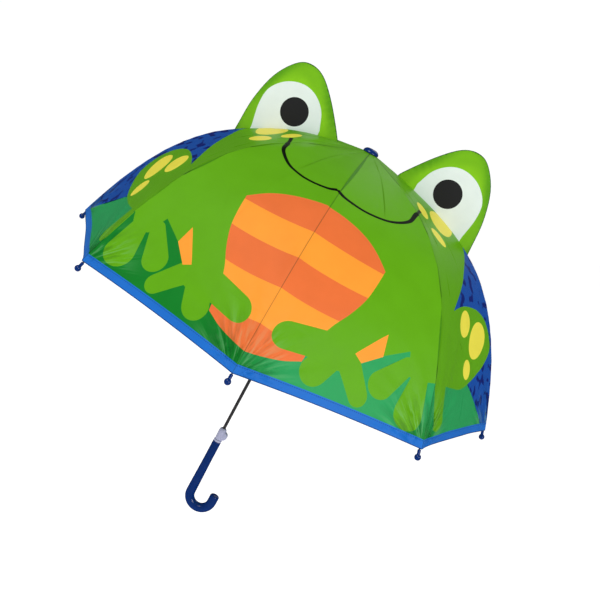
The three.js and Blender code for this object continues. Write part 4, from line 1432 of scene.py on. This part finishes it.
class UMBRELLA_OT_handle(bpy.types.Operator):
    """Glossy crook handle and its pale collar with the round lug"""
    bl_idname = "umbrella.handle"
    bl_label = "Handle"

    def execute(self, context):
        settings = context.scene.umbrella_handle
        radius = settings.grip / MM / 2
        grip = turned_piece([
            (SHAFT_HOLE, -6), (SHAFT_HOLE, GRIP_TOP - 0.4), (3.2, GRIP_TOP), (radius - 0.8, GRIP_TOP),
            (radius - 0.25, GRIP_TOP - 0.25), (radius, GRIP_TOP - 0.9), (radius, 20), (radius + 0.15, 5),
            (radius + 0.5, -18), (radius + 0.9, CROOK_Z)], 32)
        drawn_crook(grip, settings.crook / MM)
        smooth_by_angle(grip, 35)
        finish_piece(grip, "grip", finish("navy plastic"), "shaft_and_handle",
                     ["handle_grip"])
        low = GRIP_TOP + GAP
        flange = turned_piece([(SHAFT_HOLE, low), (6.2, low), (6.5, low + 0.3), (6.5, low + 3),
                               (6.2, low + FLANGE), (SHAFT_HOLE, low + FLANGE)], 32, closed=True)
        smooth_by_angle(flange)
        finish_piece(flange, "collar_flange", finish("lavender plastic"), "shaft_and_handle",
                     ["handle_collar"])
        low += FLANGE + FLANGE_GAP
        collar = turned_piece([
            (SHAFT_HOLE, low), (5.5, low), (5.7, low + 0.5), (5.75, low + 3), (6.1, 66), (6, 69), (5.4, 71.6),
            (4.4, 73), (3.5, 73.5), (3.3, 72.5), (SHAFT_HOLE, 72)], 32, closed=True)
        deselect()
        bpy.ops.mesh.primitive_cylinder_add(
            vertices=40, radius=7.3 * MM, depth=8.4 * MM, location=(3.8 * MM, 0, LUG_Z * MM),
            rotation=(math.pi / 2, 0, 0))
        lug = bpy.context.object
        bpy.ops.object.transform_apply(location=True, rotation=True, scale=True)
        collar = boolean(collar, bevelled(lug, 0.9, 60), "UNION")
        smooth_by_angle(collar)
        finish_piece(collar, "collar", finish("lavender plastic"), "shaft_and_handle",
                     ["handle_collar"])
        return {"FINISHED"}


WASHER_R = 14
CAP_R, CAP_TOP_R, CAP_RISE = 12, 4, 5
CAP_SEAT = 0.4  # seat over the cloth at the apex
CAP_RIM_GAP = 0.8


class UMBRELLA_OT_crown(bpy.types.Operator):
    """Crown that the ribs hang on, the cloth washer and the cap over them"""
    bl_idname = "umbrella.crown"
    bl_label = "Crown and Cap"

    def execute(self, context):
        eased_piece("crown_notch", 0.18, "black plastic", "shaft_and_handle", "crown")
        low, high = box_mm("crown_rosette")
        washer = turned_piece([(2.9, low[2]), (WASHER_R - 0.2, low[2]), (WASHER_R, low[2] + 0.3),
                               (WASHER_R - 0.2, high[2]), (2.9, high[2])], 40, closed=True)
        smooth_by_angle(washer)
        finish_piece(washer, "crown_washer", finish("black plastic"), "shaft_and_handle",
                     ["crown_rosette"])
        seat = APEX_Z + CAP_SEAT
        rim_z = seat - CAP_R * math.tan(APEX_SLOPE) + CAP_RIM_GAP
        top_z = APEX_Z + CAP_RISE
        dome = []
        for i in range(11):
            turn = math.pi / 2 * i / 10
            radius = CAP_TOP_R + (CAP_R - CAP_TOP_R) * math.cos(turn)
            dome.append((radius, rim_z + (top_z - rim_z) * math.sin(turn)))
        under = [(SHAFT_HOLE, APEX_Z + 3), (SHAFT_HOLE, seat), (CAP_R - 0.6, rim_z - 0.7),
                 (CAP_R - 0.1, rim_z - 0.5)]
        cap = turned_piece(under + dome + [(1, top_z)], 40)
        smooth_by_angle(cap, 40)
        finish_piece(cap, "cap", finish("navy plastic"), "shaft_and_handle", ["top_cap"])
        return {"FINISHED"}


class UMBRELLA_OT_runner(bpy.types.Operator):
    """Runner that slides on the shaft, and the spring catch that holds it up"""
    bl_idname = "umbrella.runner"
    bl_label = "Runner"

    def execute(self, context):
        eased_piece("runner_sleeve", 0.18, "black plastic", "runner")
        eased_piece("runner_notch", 0.18, "black plastic", "runner")
        eased_piece("top_catch", 0.08, "bright steel", "top_catch")
        return {"FINISHED"}


class UMBRELLA_OT_ribs(bpy.types.Operator):
    """Steel ribs and stretchers"""
    bl_idname = "umbrella.ribs"
    bl_label = "Ribs and Stretchers"

    def execute(self, context):
        for k in RIB_BODIES:
            for node, body in ((f"rib_inner_{k}", f"inner_rib_{k}"), (f"rib_outer_{k}", f"outer_rib_{k}"),
                               (f"stretcher_{k}", f"stretcher_{k}")):
                smooth_by_angle(eased_piece(node, 0.1, "bright steel", body), 65)
        return {"FINISHED"}


STRAP_LENGTH = 72
STRAP_HALF = 7.5
STRAP_CLEAR = 24  # from the strap's end to the canopy's edge
STRAP_BESIDE = 11  # from the rear ridge to the strap's middle line
STRAP_RISE = 1.9
STRAP_SWELL = 0.25
STRAP_ROWS, STRAP_COLUMNS = 24, 6


class UMBRELLA_OT_strap(bpy.types.Operator):
    """Closing strap with its press stud"""
    bl_idname = "umbrella.strap"
    bl_label = "Closing Strap"

    def execute(self, context):
        start = RIB_LENGTH - STRAP_CLEAR - STRAP_LENGTH
        top, normals, cloth_map = [], [], []
        for row in range(STRAP_ROWS + 1):
            along = start + STRAP_LENGTH * row / STRAP_ROWS
            radius = on_profile(along)[0]
            taper = STRAP_HALF * min(1.0, 0.55 + 0.45 * math.sin(math.pi / 2 * min(row / 3, 1)))
            for column in range(STRAP_COLUMNS + 1):
                across = taper * (2 * column / STRAP_COLUMNS - 1)
                azimuth = 180 + math.degrees((STRAP_BESIDE + across) / radius)
                swell = STRAP_SWELL * math.cos(math.pi * across / taper / 2)
                top.append(on_cloth(azimuth, along, -STRAP_RISE - swell))
                normals.append(outward_at(azimuth, along))
                cloth_map.append((across * MM + 0.1, along * MM))
        faces = facing(top, grid_faces(STRAP_ROWS, STRAP_COLUMNS), normals[0])
        strap = cloth_piece("strap", top, normals, faces, {"Cloth": cloth_map})
        finish_piece(strap, "strap", finish("strap satin"), "outer_rib_4", ["closing_strap"])
        stud = eased_piece("strap_snap", 0.3, "bright steel", "outer_rib_4", "strap_stud")
        for piece in (strap, stud):
            squash_half(piece, 4, 1, RIB_LENGTH)
        return {"FINISHED"}


STEPS = ("stage", "canopy", "seams", "eyes", "tips", "shaft", "handle", "crown", "runner", "ribs", "strap")


class UMBRELLA_PT_panel(bpy.types.Panel):
    """Sizes and colours of the umbrella, and a button for each group of pieces"""
    bl_label = "Frog Umbrella"
    bl_idname = "UMBRELLA_PT_panel"
    bl_space_type = "VIEW_3D"
    bl_region_type = "UI"
    bl_category = "Umbrella"

    def draw(self, context):
        scene = context.scene
        for group in SETTINGS:
            settings = getattr(scene, group)
            box = self.layout.box()
            for name in settings.__annotations__:
                box.prop(settings, name)
        for step in STEPS:
            self.layout.operator(f"umbrella.{step}")


SETTINGS = {
    "umbrella_canopy": CanopySettings,
    "umbrella_eyes": EyeSettings,
    "umbrella_handle": HandleSettings,
    "umbrella_stage": StageSettings,
}
CLASSES = (
    *SETTINGS.values(), UMBRELLA_OT_stage, UMBRELLA_OT_canopy, UMBRELLA_OT_seams, UMBRELLA_OT_eyes,
    UMBRELLA_OT_tips, UMBRELLA_OT_shaft, UMBRELLA_OT_handle, UMBRELLA_OT_crown, UMBRELLA_OT_runner,
    UMBRELLA_OT_ribs, UMBRELLA_OT_strap, UMBRELLA_PT_panel,
)


def register():
    for cls in CLASSES:
        bpy.utils.register_class(cls)
    for name, group in SETTINGS.items():
        setattr(bpy.types.Scene, name, bpy.props.PointerProperty(type=group))


def unregister():
    for name in SETTINGS:
        delattr(bpy.types.Scene, name)
    for cls in reversed(CLASSES):
        bpy.utils.unregister_class(cls)


def main():
    register()
    for step in STEPS:
        getattr(bpy.ops.umbrella, step)()


if __name__ == "__main__":
    main()
